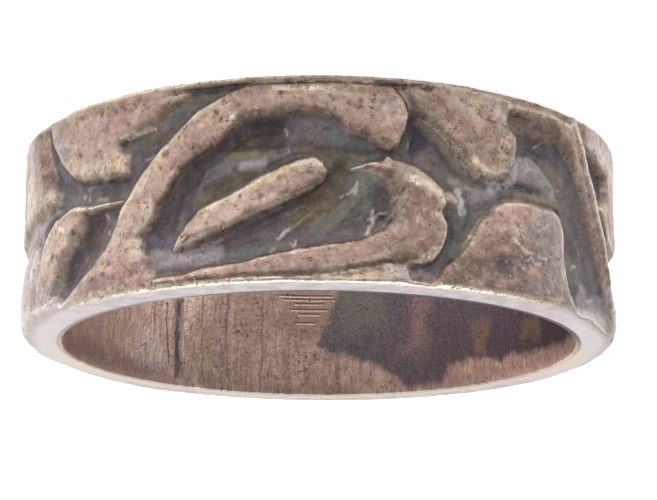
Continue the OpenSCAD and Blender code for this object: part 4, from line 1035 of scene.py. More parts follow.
def wall_fields():
    """Rasters of the outer wall: relief in mm above the hollows, where it is raised metal, wear of
    its ridges and charted edges (partly painted highlight), painted shade in its creases, and the stains."""
    x, z = np.meshgrid(RASTER_X, RASTER_Z, indexing="ij")
    metal, share = relief_share(x + noise_sum(x, z, FORM_WANDER), z + noise_sum(x, z, FORM_WANDER_UP))
    raised = smooth((metal - METAL_FROM) / METAL_BLEND + 0.5)
    share = np.maximum(share, FILLET_SHARE * blurred(share, FILLET_W))
    relief = RELIEF_H * add_small_forms(share, x, z) + noise_sum(x, z, ROUGHNESS)
    edged = relief - PAST_RIM_FALL * np.clip(np.maximum(-z, z - BAND_H), 0, None)
    wear, crease_shade = 0, 0
    for sigma, full, in_wear, in_crease in EDGE_SCALES:
        off = (edged - blurred(edged, sigma)) / full
        wear = wear + in_wear * np.clip(off, 0, 1)
        crease_shade = crease_shade + in_crease * np.clip(-off, 0, 1)
    stray_x, stray_z = noise_sum(x, z, STAIN_WANDER), noise_sum(x, z, STAIN_WANDER_UP)
    tint, cover = stains(x + stray_x, z + stray_z, raised)
    charted = worn_and_lit_edges(x + EDGE_WANDER * stray_x, z + EDGE_WANDER * stray_z)
    return {
        "relief": relief,
        "raised": raised,
        # The wear also carries the charted edges, which are partly painted highlight
        "wear": np.clip(RIDGE_WEAR * wear + charted, 0, 1),
        "crease_shade": np.clip(crease_shade, 0, 1),
        "red": tint[..., 0],
        "green": tint[..., 1],
        "blue": tint[..., 2],
        "cover": cover,
    }


# The dark seam inside the band: its angle, lower end and the height over which it deepens,
# half width and depth
BORE_MM_PER_DEG = BORE_R * math.pi / HALF_TURN
SEAM_ANGLE = 143.3
SEAM_LOW = 2.9
SEAM_RUN_IN = 0.6
SEAM_HALF_W = 0.24
SEAM_DEPTH = 0.06

# Bevels of the rims' outer and inner edges, and where on a bevel the mesh has rows
OUTER_BEVEL = 0.13
OUTER_STEPS = np.array([0.0, 0.2, 0.5])
INNER_BEVEL = 0.05
INNER_STEPS = np.array([0.0, 0.3, 1.0])
# Outer bevel of the far rim, by the angle from the front: the sides are rounded most
FAR_BEVELS = [
    (0, 0.13), (12, 0.13), (20, 0.25), (50, 0.25), (60, 0.36), (74, 0.56), (102, 0.6), (120, 0.4),
    (142, 0.18), (180, 0.13),
]
# How strong the pale edge is along the low rim, by angle, and where it fades up the wall
LOW_EDGE = [(-180, 0.6), (-60, 0.6), (-50, 0.2), (-12, 0.15), (6, 0.4), (13, 1), (45, 1), (180, 0.6)]
LOW_EDGE_H = 0.08
LOW_EDGE_FADE = 0.1
# How far the pale edge reaches from the far rim, by angle, and the share of it that is full
EDGE_REACH = [
    (-180, 0.12), (-130, 0.2), (-110, 0.6), (-70, 0.6), (-58, 0.3), (-46, 0.2), (-33, 0.14),
    (-28, 0.17), (-22, 0.16), (-18, 0.08), (-9, 0.1), (8, 0.08), (18, 0.14), (28, 0.2), (50, 0.22),
    (58, 0.34), (70, 0.6), (110, 0.6), (130, 0.2), (180, 0.12),
]
EDGE_FULL = 0.3
# How close to a rim's plane the wall still counts as the rim, and the height over which it fades
RIM_WITHIN = 0.005
RIM_FADE = 0.03

# Rows of the mesh up the outer wall and down the bore, and where across a rim it has rows
WALL_ROWS = 84
BORE_ROWS = 13
RIM_SHARES = np.array([0.8, 0.5, 0.2])
# Columns of the mesh for one degree: more in front, where the relief shows best
COLUMNS_BY_ANGLE = [
    (-180, 1.95), (-105, 1.95), (-85, 2.4), (-50, 2.85), (0, 3.0), (50, 2.85), (85, 2.4), (105, 1.95),
    (180, 1.95),
]
COUNT_STEPS = 7201


def from_table(place, rows):
    """Value at a place by straight lines between the rows of a table."""
    return np.interp(place, *zip(*rows))


def column_angles():
    """Angles of the mesh's columns, closer together where the table asks for more."""
    fine = np.linspace(-HALF_TURN, HALF_TURN, COUNT_STEPS)
    density = from_table(fine, COLUMNS_BY_ANGLE)
    count = np.concatenate([[0], np.cumsum((density[1:] + density[:-1]) / 2 * np.diff(fine))])
    total = int(count[-1])
    return np.interp(np.arange(total) * count[-1] / total, count, fine)


LOW_RIM, WALL, FAR_RIM, BORE = range(4)


def band_grid(relief):
    """Angle of each column, radius and height of each place, and the part that each row is on:
    LOW_RIM, then up the WALL, over the FAR_RIM and down the BORE."""
    angle = column_angles()[:, None]
    bevel_up = OUTER_STEPS * OUTER_BEVEL
    between = np.linspace(OUTER_BEVEL, BAND_H - OUTER_BEVEL, WALL_ROWS)
    wall_z = np.concatenate([bevel_up, between, BAND_H - bevel_up[::-1]])[None, :]
    rounding = 0
    for bevel, off in ((OUTER_BEVEL, wall_z), (from_table(np.abs(angle), FAR_BEVELS), BAND_H - wall_z)):
        across = 1 - np.clip(off / bevel, 0, 1)
        rounding = rounding + bevel * (1 - np.sqrt(1 - across ** 2))
    wall_z = np.broadcast_to(wall_z, (len(angle), wall_z.size))
    wall_r = FLOOR_R + sampled(relief, angle, wall_z) - rounding

    rim_in = BORE_R + INNER_BEVEL
    far_r = rim_in + (wall_r[:, -1:] - rim_in) * RIM_SHARES
    low_r = rim_in + (wall_r[:, :1] - rim_in) * RIM_SHARES[::-1]

    bevel = INNER_BEVEL * INNER_STEPS
    bore_z = np.concatenate([BAND_H - bevel, np.linspace(BAND_H, 0, BORE_ROWS + 2)[1:-1], bevel[::-1]])
    bore_r = np.full(bore_z.size, BORE_R)
    bore_r[:bevel.size] += bevel[::-1]
    bore_r[-bevel.size:] += bevel
    seam = smooth(1 - np.abs(angle - SEAM_ANGLE) * BORE_MM_PER_DEG / SEAM_HALF_W)
    bore_r = bore_r + SEAM_DEPTH * seam * smooth((bore_z - SEAM_LOW) / SEAM_RUN_IN)
    bore_z = np.broadcast_to(bore_z, bore_r.shape)

    radius = np.hstack([low_r, wall_r, far_r, bore_r])
    height = np.hstack([np.zeros_like(low_r), wall_z, np.full_like(far_r, BAND_H), bore_z])
    rows = [field.shape[1] for field in (low_r, wall_r, far_r, bore_r)]
    return angle, radius, height, np.repeat([LOW_RIM, WALL, FAR_RIM, BORE], rows)


def loop_faces(columns, rows):
    """Quads of a tube that closes both round the band and round its profile."""
    i, j = np.meshgrid(np.arange(columns), np.arange(rows), indexing="ij")
    ni, nj = (i + 1) % columns, (j + 1) % rows
    return np.stack([i * rows + j, ni * rows + j, ni * rows + nj, i * rows + nj], -1).reshape(-1, 4)


def edge_share(angle, height):
    """1 beside the rims, 0 away from them. The far rim's edge is wide at the sides."""
    low = (1 - smooth((height - LOW_EDGE_H) / LOW_EDGE_FADE)) * from_table(angle, LOW_EDGE)
    reach = from_table(angle, EDGE_REACH)
    return np.maximum(low, 1 - smooth((BAND_H - height - EDGE_FULL * reach) / reach))


def build_band():
    """The ring as one closed mesh, with what the material reads at each of its points."""
    fields = wall_fields()
    angle, radius, height, part = band_grid(fields["relief"])
    across, forward = np.sin(np.radians(angle)), -np.cos(np.radians(angle))
    never_zero = 1e-6
    limit_x = HALF_X / np.maximum(np.abs(across), never_zero)
    limit_y = HALF_Y / np.maximum(np.abs(forward), never_zero)
    radius = np.minimum(radius, np.minimum(limit_x, limit_y))
    points = np.stack([radius * across, radius * forward, height], -1) * MM

    mesh = bpy.data.meshes.new("ring_band")
    mesh.from_pydata(points.reshape(-1, 3).tolist(), [], loop_faces(*radius.shape).tolist())
    mesh.update()
    mesh.shade_smooth()

    angles = np.broadcast_to(angle, radius.shape)
    near_rim = 1 - smooth((np.minimum(height, BAND_H - height) - RIM_WITHIN) / RIM_FADE)
    wall = (part == WALL)[None, :]
    values = {
        "raised": np.where(wall, sampled(fields["raised"], angles, height), 1.0),
        "wear": np.where(wall, sampled(fields["wear"], angles, height), 0.0),
        "crease_shade": np.where(wall, sampled(fields["crease_shade"], angles, height), 0.0),
        "rim": np.where(wall, near_rim, np.isin(part, (LOW_RIM, FAR_RIM))[None, :]),
        "bore": np.broadcast_to((part == BORE)[None, :], radius.shape),
        "edge": np.where(wall, edge_share(angles, height), 0.0),
    }
    for name, value in values.items():
        layer = mesh.attributes.new(name, "FLOAT", "POINT")
        layer.data.foreach_set("value", np.ascontiguousarray(value, np.float32).ravel())
    layer = mesh.attributes.new("stain", "FLOAT_COLOR", "POINT")
    parts = [sampled(fields[name], angles, height) for name in ("red", "green", "blue", "cover")]
    layer.data.foreach_set("color", np.ascontiguousarray(np.stack(parts, -1), np.float32).ravel())
    band = bpy.data.objects.new("ring_band", mesh)
    bpy.context.scene.collection.objects.link(band)
    return band


# Largest value that a profile can hold
PROFILE_TOP = 20.0


class Nodes:
    """Short calls that build a node tree."""

    def __init__(self, tree):
        self.tree = tree
        tree.nodes.clear()

    def add(self, kind, inputs=None, **settings):
        node = self.tree.nodes.new(kind)
        for name, value in settings.items():
            setattr(node, name, value)
        for name, value in (inputs or {}).items():
            self.put(node.inputs[name], value)
        return node

    def put(self, socket, value):
        """Links an output to a socket, or sets the socket's own value."""
        if isinstance(value, bpy.types.NodeSocket):
            self.tree.links.new(value, socket)
        else:
            socket.default_value = value

    def math(self, operation, a, b=0.0):
        node = self.add("ShaderNodeMath", operation=operation)
        self.put(node.inputs[0], a)
        self.put(node.inputs[1], b)
        return node.outputs[0]

    def plus(self, a, b):
        return self.math("ADD", a, b)

    def minus(self, a, b):
        return self.math("SUBTRACT", a, b)

    def times(self, a, *others):
        for other in others:
            a = self.math("MULTIPLY", a, other)
        return a

    def vector(self, operation, a, b):
        node = self.add("ShaderNodeVectorMath", operation=operation)
        self.put(node.inputs[0], a)
        self.put(node.inputs[1], b)
        return node.outputs[0]

    def moved(self, place, by):
        return self.vector("ADD", place, by)

    def stretched(self, place, by):
        return self.vector("MULTIPLY", place, by)

    def split(self, place):
        return self.add("ShaderNodeSeparateXYZ", inputs={"Vector": place}).outputs

    def joined(self, x, y=0.0, z=0.0):
        return self.add("ShaderNodeCombineXYZ", inputs={"X": x, "Y": y, "Z": z}).outputs[0]

    def attribute(self, name):
        return self.add("ShaderNodeAttribute", attribute_name=name).outputs

    def span(self, value, low, high, to_low=0.0, to_high=1.0):
        """Smooth step of a value from low to high."""
        return self.add("ShaderNodeMapRange", interpolation_type="SMOOTHSTEP", inputs={
            "Value": value, "From Min": low, "From Max": high, "To Min": to_low, "To Max": to_high,
        }).outputs[0]

    def noise(self, place, cell, detail=3.0, rough=0.55):
        """Noise from 0 to 1 whose main blots are about cell mm across."""
        return self.add("ShaderNodeTexNoise", inputs={
            "Vector": place, "Scale": 1 / cell, "Detail": detail, "Roughness": rough,
        }).outputs["Fac"]

    def blend(self, share, a, b, how="MIX"):
        node = self.add("ShaderNodeMix", data_type="RGBA", blend_type=how)
        self.put(node.inputs[0], share)
        self.put(node.inputs[6], a)
        self.put(node.inputs[7], b)
        return node.outputs[2]

    def levelled(self, colour, level):
        """A colour made lighter or darker."""
        return self.blend(1.0, colour, self.joined(level, level, level), "MULTIPLY")

    def box(self, spot, across, up, soft):
        """1 inside a box on the unrolled wall, 0 outside it."""
        x, y, _ = self.split(spot)
        inside = self.math("MINIMUM", self.minus(x, across[0]), self.minus(across[1], x))
        inside = self.math("MINIMUM", inside, self.minus(y, up[0]))
        inside = self.math("MINIMUM", inside, self.minus(up[1], y))
        return self.span(inside, -soft, soft)

    def profile(self, value, rows):
        """Value by straight lines between the rows of a table: places, and values up to PROFILE_TOP."""
        low, high = rows[0][0], rows[-1][0]
        share = self.add("ShaderNodeMapRange", inputs={"Value": value, "From Min": low, "From Max": high})
        ramp = self.add("ShaderNodeValToRGB", inputs={"Fac": share.outputs[0]})
        steps = ramp.color_ramp.elements
        while len(steps) < len(rows):
            steps.new(0.5)
        for step, (at, level) in zip(steps, rows):
            step.position = (at - low) / (high - low)
            step.color = (level / PROFILE_TOP,) * 3 + (1.0,)
        return self.times(ramp.outputs[0], PROFILE_TOP)


# Colours laid over the bore's metal by its noises: the noise, the value from which the colour
# shows and the one where it shows most, how much that is, and the colour
BORE_TINTS = [
    ("patches", 0.42, 0.62, 0.7, "bore_brown"), ("patches", 0.42, 0.32, 0.5, "gold"),
    ("streaks", 0.5, 0.66, 0.7, "bore_brown"), ("streaks", 0.5, 0.34, 0.6, "light_tan"),
    ("wide", 0.52, 0.62, 0.5, "olive_tan"), ("wide", 0.46, 0.36, 0.5, "mauve"),
    ("lines", 0.56, 0.66, 0.55, "brown"), ("lines", 0.44, 0.34, 0.5, "lilac"),
]
# Stains in the bore: colour, strength, width of the soft edge in mm, lean of the sides,
# degrees on from the back (towards -X) at mid height, heights from and to
MID_H = 4.5
BORE_STAINS = [
    ("mauve_tan", 0.5, 0.5, 0.0, (-90, -62), (4.6, 6.2)),
    ("bore_mauve", 0.8, 0.3, 0.0, (-90, -40), (5.95, 7.2)),
    ("bore_mauve", 0.6, 0.3, 0.0, (-40, -33), (6.3, 7.2)),
    ("bore_brown", 0.85, 0.25, 0.0, (-10, 3), (2.4, 4.5)),
    ("bore_brown", 0.6, 0.5, 0.0, (-26, -12), (2.4, 4.6)),
    ("olive_tan", 0.5, 0.2, 0.0, (-34, -28), (3.6, 6.6)),
    ("olive_tan", 0.4, 0.3, 0.0, (-62, -50), (4.0, 5.6)),
    ("lilac", 0.4, 0.3, 0.0, (-50, -42), (4.6, 6.4)),
    ("bore_mauve", 0.6, 0.3, 0.0, (30, 90), (6.0, 7.2)),
]
# Thin upright lines in the bore, in the same form
BORE_LINES = [
    ("brown", 0.7, 0.05, 0.0, (-23.9, -23.2), (2.4, 5.2)),
    ("brown", 0.5, 0.05, 0.0, (-30.3, -29.8), (3.0, 6.4)),
    ("brown", 0.5, 0.05, 0.0, (-14.6, -14.1), (2.6, 6.0)),
    ("light_tan", 0.7, 0.06, 0.0, (-22.9, -21.9), (3.0, 6.0)),
    ("rust", 0.7, 0.04, 0.05, (-40.6, -40.1), (3.6, 6.0)),
    ("cream", 0.5, 0.04, 0.05, (-41.6, -41.0), (3.8, 5.8)),
    ("rust", 0.6, 0.04, 0.0, (-44.2, -43.8), (3.2, 4.8)),
]
# Painted light and shade over the bore's metal: how much lighter or darker it is made, by degrees on from the
# back
BORE_PAINTED_LIGHT = [
    (-180, 1.0), (-125, 1.3), (-90, 2.0), (-66, 2.1), (-50, 2.0), (-34, 1.7), (-26, 1.05), (-18, 0.98),
    (-8, 0.88), (8, 0.88), (22, 1.0), (60, 2.1), (90, 2.6), (125, 1.3), (180, 1.0),
]
# The large stain: how far up it reaches by degrees on from the back, the degrees where it begins
# by height, the widths of its soft edges, and how much of the metal it hides
STAIN_REACH = [
    (-8, 4.2), (-1, 4.9), (2, 5.1), (8, 5.3), (14, 5.6), (17, 5.9), (20, 6.2), (23, 6.6), (31, 6.6),
    (34, 6.0), (40, 5.8), (50, 5.9), (60, 6.0), (75, 6.15), (90, 6.2),
]
STAIN_START = [(2.4, 4.2), (3.0, 3.7), (4.0, 1.8), (4.7, 0.0), (6.8, 0.0)]
REACH_SOFT = 0.22
START_SOFT = 0.16
STAIN_HIDES = 0.94
# It ends on the front half, at this place along the far rim's edge in mm, and leans by this much a mm
STAIN_END = 17.2
STAIN_END_LEAN = 0.45
END_SOFT = 0.4
# Tones within the large stain, in the form of the stains above
STAIN_TONES = [
    ("green_grey", 0.6, 0.4, 0.0, (3, 17), (2.0, 4.5)),
    ("mauve", 0.7, 0.3, -0.25, (21.5, 27.5), (2.8, 5.6)),
    ("umber", 0.4, 0.2, -0.25, (23.5, 26.5), (3.0, 5.0)),
    ("violet", 0.4, 0.5, 0.0, (29, 40), (3.0, 5.8)),
    ("bore_violet", 0.7, 0.5, 0.0, (46, 57), (3.6, 6.0)),
    ("bore_violet", 0.8, 0.4, 0.0, (65, 85), (3.6, 6.0)),
    ("umber", 0.35, 0.16, 0.0, (40.5, 46), (4.2, 5.6)),
    ("ochre", 0.45, 0.14, 0.0, (42, 44.6), (4.6, 5.5)),
    ("olive_tan", 0.7, 0.2, 0.0, (57.5, 65), (4.5, 5.5)),
]
# The seam's colour, its dark core and the light line beside it, a painted highlight on the groove's edge: mm
# round the bore from and to, heights from and to, and width of the soft edge
SEAM_AT = (SEAM_ANGLE - HALF_TURN) * BORE_MM_PER_DEG
SEAM_FACE = ((SEAM_AT - 0.17, SEAM_AT + 0.2), (3.1, 6.5), 0.06)
SEAM_CORE = ((SEAM_AT - 0.05, SEAM_AT + 0.06), (3.3, 6.4), 0.05)
SEAM_SIDE = ((SEAM_AT - 0.27, SEAM_AT - 0.2), (3.3, 6.2), 0.04)
# Lines and seam waver by this share of what the stains do
LINE_WAVER = 0.15
# File marks in the bore: degrees on from the back, and height. Each is a cut with a bright burr
# above it: mm above that height from and to, and the width of the soft edge.
FILE_MARKS = [
    ((-10, 3.4), 2.8), ((-9, 4), 2.95), ((-6, 1), 3.12), ((-7, 2.4), 3.36), ((-5, 0), 3.55), ((-6, -1), 3.9),
]
FILE_CUT = (-0.02, 0.02, 0.03)
FILE_BURR = (0.045, 0.075, 0.025)


def on_bore(rows):
    """A table with its degrees on from the back turned into mm on the unrolled bore."""
    return [(degrees * BORE_MM_PER_DEG, value) for degrees, value in rows]


def bore_spots(n, rows, place, colour):
    """Lays soft boxes of stain over a colour. place is on the unrolled bore, in mm."""
    for name, strength, soft, lean, degrees, heights in rows:
        shear = n.stretched(n.vector("SUBTRACT", place, (0.0, MID_H, 0.0)), (0.0, lean, 0.0))
        leaning = n.moved(place, n.joined(n.times(n.split(shear)[1], -1.0)))
        cover = n.box(leaning, [v * BORE_MM_PER_DEG for v in degrees], heights, soft)
        colour = n.blend(n.times(cover, strength), colour, COLOURS[name])
    return colour


def large_stain(n, spot, warped):
    """Share of the bore's large stain. Its edges wander half as far as the warped place does."""
    x, y, _ = n.split(n.stretched(n.moved(spot, warped), (0.5, 0.5, 0.0)))
    reach = n.profile(x, on_bore(STAIN_REACH))
    start = n.profile(y, [(height, degrees * BORE_MM_PER_DEG) for height, degrees in STAIN_START])
    end = n.plus(x, n.times(n.minus(y, BAND_H), STAIN_END_LEAN))
    below = n.span(n.minus(reach, y), -REACH_SOFT, REACH_SOFT)
    past = n.span(n.minus(x, start), -START_SOFT, START_SOFT)
    return n.times(below, past, n.span(end, STAIN_END + END_SOFT, STAIN_END - END_SOFT))


def bore_colour(n, spot, warped, streaks, patches):
    """Colour of the bore wall and the height of its marks. spot is the place on the unrolled bore."""
    c = COLOURS
    broad = n.noise(n.stretched(spot, (1.6, 0.8, 0.0)), 1.0)
    lines = n.noise(n.stretched(spot, (16.0, 1.1, 0.0)), 1.0, 3.0, 0.6)
    noises = {
        "patches": patches,
        "streaks": streaks,
        "wide": n.noise(n.stretched(spot, (3.2, 0.6, 0.0)), 1.0, 3.0, 0.6),
        "lines": lines,
    }
    colour = n.blend(n.span(broad, 0.42, 0.56), c["bore"], c["bore_pink"])
    for source, low, high, most, name in BORE_TINTS:
        colour = n.blend(n.span(noises[source], low, high, 0.0, most), colour, c[name])
    colour = bore_spots(n, BORE_STAINS, warped, colour)
    # Painted light: the bore is made much lighter at its sides and a little darker at the back
    colour = n.levelled(colour, n.profile(n.split(spot)[0], on_bore(BORE_PAINTED_LIGHT)))

    tones = n.blend(n.span(streaks, 0.42, 0.6, 0.0, 0.6), c["bore_stain"], c["lilac_dark"])
    tones = bore_spots(n, STAIN_TONES, warped, tones)
    colour = n.blend(n.times(large_stain(n, spot, warped), STAIN_HIDES), colour, tones)

    straight = n.stretched(spot, (1 - LINE_WAVER, 1.0, 1.0))
    wavy = n.moved(straight, n.stretched(warped, (LINE_WAVER, 0.0, 0.0)))
    colour = bore_spots(n, BORE_LINES, wavy, colour)
    colour = n.blend(n.times(n.box(wavy, *SEAM_FACE), 0.85), colour, c["seam"])
    core = n.times(n.box(wavy, *SEAM_CORE), n.span(patches, 0.42, 0.52, 0.1, 0.6))
    colour = n.blend(core, colour, c["dirt_and_shade"])
    # Painted highlight: a light line beside the seam
    colour = n.blend(n.times(n.box(wavy, *SEAM_SIDE), 0.6), colour, c["light_tan"])
    height = n.plus(streaks, n.times(lines, 0.5))
    for degrees, level in FILE_MARKS:
        across = [v * BORE_MM_PER_DEG for v in degrees]
        cut, burr = (
            n.box(spot, across, (level + low, level + high), soft)
            for low, high, soft in (FILE_CUT, FILE_BURR)
        )
        colour = n.blend(n.times(cut, 0.85), colour, c["rust"])
        colour = n.blend(n.times(burr, n.span(lines, 0.35, 0.55, 0.2, 0.95)), colour, c["cream"])
        height = n.minus(height, cut)
    return colour, height


# Blots over the metal and the hollows: colour, size in mm, the noise's value from which the blot
# shows and the one where it shows most, and how much that is on raised metal
MOTTLES = [
    ("blush", 0.5, 0.5, 0.68, 0.4), ("moss", 0.6, 0.5, 0.68, 0.34), ("haze", 0.55, 0.54, 0.7, 0.24),
    ("brown", 0.26, 0.54, 0.66, 0.5), ("light_tan", 0.36, 0.54, 0.68, 0.4), ("cream", 0.2, 0.62, 0.68, 0.16),
]
# How much of them shows in the hollows, and how light hollows and metal are
MOTTLES_IN_HOLLOWS = 0.25
HOLLOW_LEVEL = 0.86
METAL_LEVEL = 0.93


def mottled(n, place, colour, raised):
    """Blots of pink, olive and lilac over a colour, and grains of light and dark."""
    showing = n.span(raised, 0.0, 1.0, MOTTLES_IN_HOLLOWS, 1.0)
    for name, cell, low, high, most in MOTTLES:
        blots = n.noise(n.moved(place, (31.0 * cell, 7.0, 13.0)), cell)
        colour = n.blend(n.times(n.span(blots, low, high, 0.0, most), showing), colour, COLOURS[name])
    broad = n.span(n.noise(place, 0.3), 0.3, 0.7, 0.84, 1.14)
    fine = n.span(n.noise(place, 0.1, 3.0, 0.6), 0.34, 0.66, 0.93, 1.06)
    level = n.span(raised, 0.0, 1.0, HOLLOW_LEVEL, METAL_LEVEL)
    return n.levelled(colour, n.times(level, n.times(broad, fine)))


# The rims' front and back turn into their sides between these distances from the middle, in mm
SIDES_FROM = (7.2, 9.2)
# What lies along the bore's edge, by the mm out from it where it has faded and where it is full: the
# warm inner half behind, the flecks within that, and the painted shade line in front
WARM_RIM = (0.8, 0.3)
RIM_FLECKS = (0.16, 0.06)
FRONT_SHADE_LINE = (0.25, 0.15)


def rim_colour(n, place, colour, edge, rim):
    """Pale worn rim faces, lighter towards the sides by painted light, with a rough cream line along
    their edges in front and behind, a soft pale merge at the sides, and a painted shade line along the front
    of the bore."""
    c = COLOURS
    x, y, z = n.split(place)
    sideways = n.math("ABSOLUTE", x)
    beside = n.span(sideways, *SIDES_FROM)
    rough = n.noise(n.moved(place, (3.0, 8.0, 1.0)), 0.12, 3.0, 0.7)
    toward_sides = n.span(sideways, 1.4, 3.4, 0.0, 0.1)
    line = n.blend(n.span(n.plus(rough, toward_sides), 0.48, 0.56), c["edge_tan"], c["cream"])
    line = n.blend(n.span(rough, 0.4, 0.35), line, c["umber"])
    line = n.blend(n.span(beside, 0.0, 0.4), line, c["lilac_pale"])
    patchy = n.span(n.noise(place, 0.5), 0.35, 0.55, 0.7, 1.0)
    colour = n.blend(n.times(edge, patchy), colour, line)

    from_axis = n.add("ShaderNodeVectorMath", operation="LENGTH")
    n.put(from_axis.inputs[0], n.stretched(place, (1.0, 1.0, 0.0)))
    past_bore = n.minus(from_axis.outputs["Value"], BORE_R)
    back = n.span(y, -2.0, 2.0)
    face = n.blend(n.span(n.noise(place, 0.6, 4.0, 0.6), 0.4, 0.62), c["rim"], c["rim_shade"])
    # Painted light: the rim faces are lighter towards the sides
    face = n.blend(n.times(beside, 0.7), face, c["rim_lit_side"])
    face = n.blend(n.times(n.span(past_bore, *WARM_RIM), back, 0.8), face, c["rim_cream"])
    flecks = n.times(n.span(past_bore, *RIM_FLECKS), back, n.span(rough, 0.46, 0.4, 0.0, 0.8))
    face = n.blend(flecks, face, c["olive"])
    colour = n.blend(rim, colour, face)

    # Painted shade: a dark line along the front edge of the bore
    front = n.times(n.span(y, 2.0, -3.0), n.span(x, 6.0, 0.0, 0.45, 0.95))
    front = n.times(front, n.span(z, BAND_H - 0.4, BAND_H - 0.2))
    return n.blend(n.times(n.span(past_bore, *FRONT_SHADE_LINE), front), colour, c["bore_edge_shade"])


def thin_lines(n, place, offset, cell, half_w, level):
    """1 on short thin wandering lines, 0 elsewhere. A higher level leaves fewer of them."""
    moved = n.moved(place, offset)
    off = n.math("ABSOLUTE", n.minus(n.noise(moved, cell, 2.5), 0.5))
    some = n.span(n.noise(moved, 0.36, 2.0), level, level + 0.05)
    return n.times(n.span(off, half_w, 0.3 * half_w), some)


def fresh_material(name):
    """A material with an empty node tree, and the place on the object."""
    material = bpy.data.materials.new(name)
    material.use_nodes = True
    n = Nodes(material.node_tree)
    return material, n, n.add("ShaderNodeTexCoord").outputs["Object"]


def finish_material(n, inputs):
    """Ends a node tree with a shader that has these inputs."""
    shader = n.add("ShaderNodeBsdfPrincipled", inputs=inputs)
    n.add("ShaderNodeOutputMaterial", inputs={"Surface": shader.outputs[0]})


# Roughness and metal share in the hollows and on raised metal, and how much smoother worn edges are
ROUGH = (0.58, 0.4)
METALLIC = (0.35, 0.95)
WORN_POLISH = 0.12
# Fine relief: its strength, and its depth in mm
BUMP_STRENGTH = 0.5
BUMP_DEPTH = 0.05


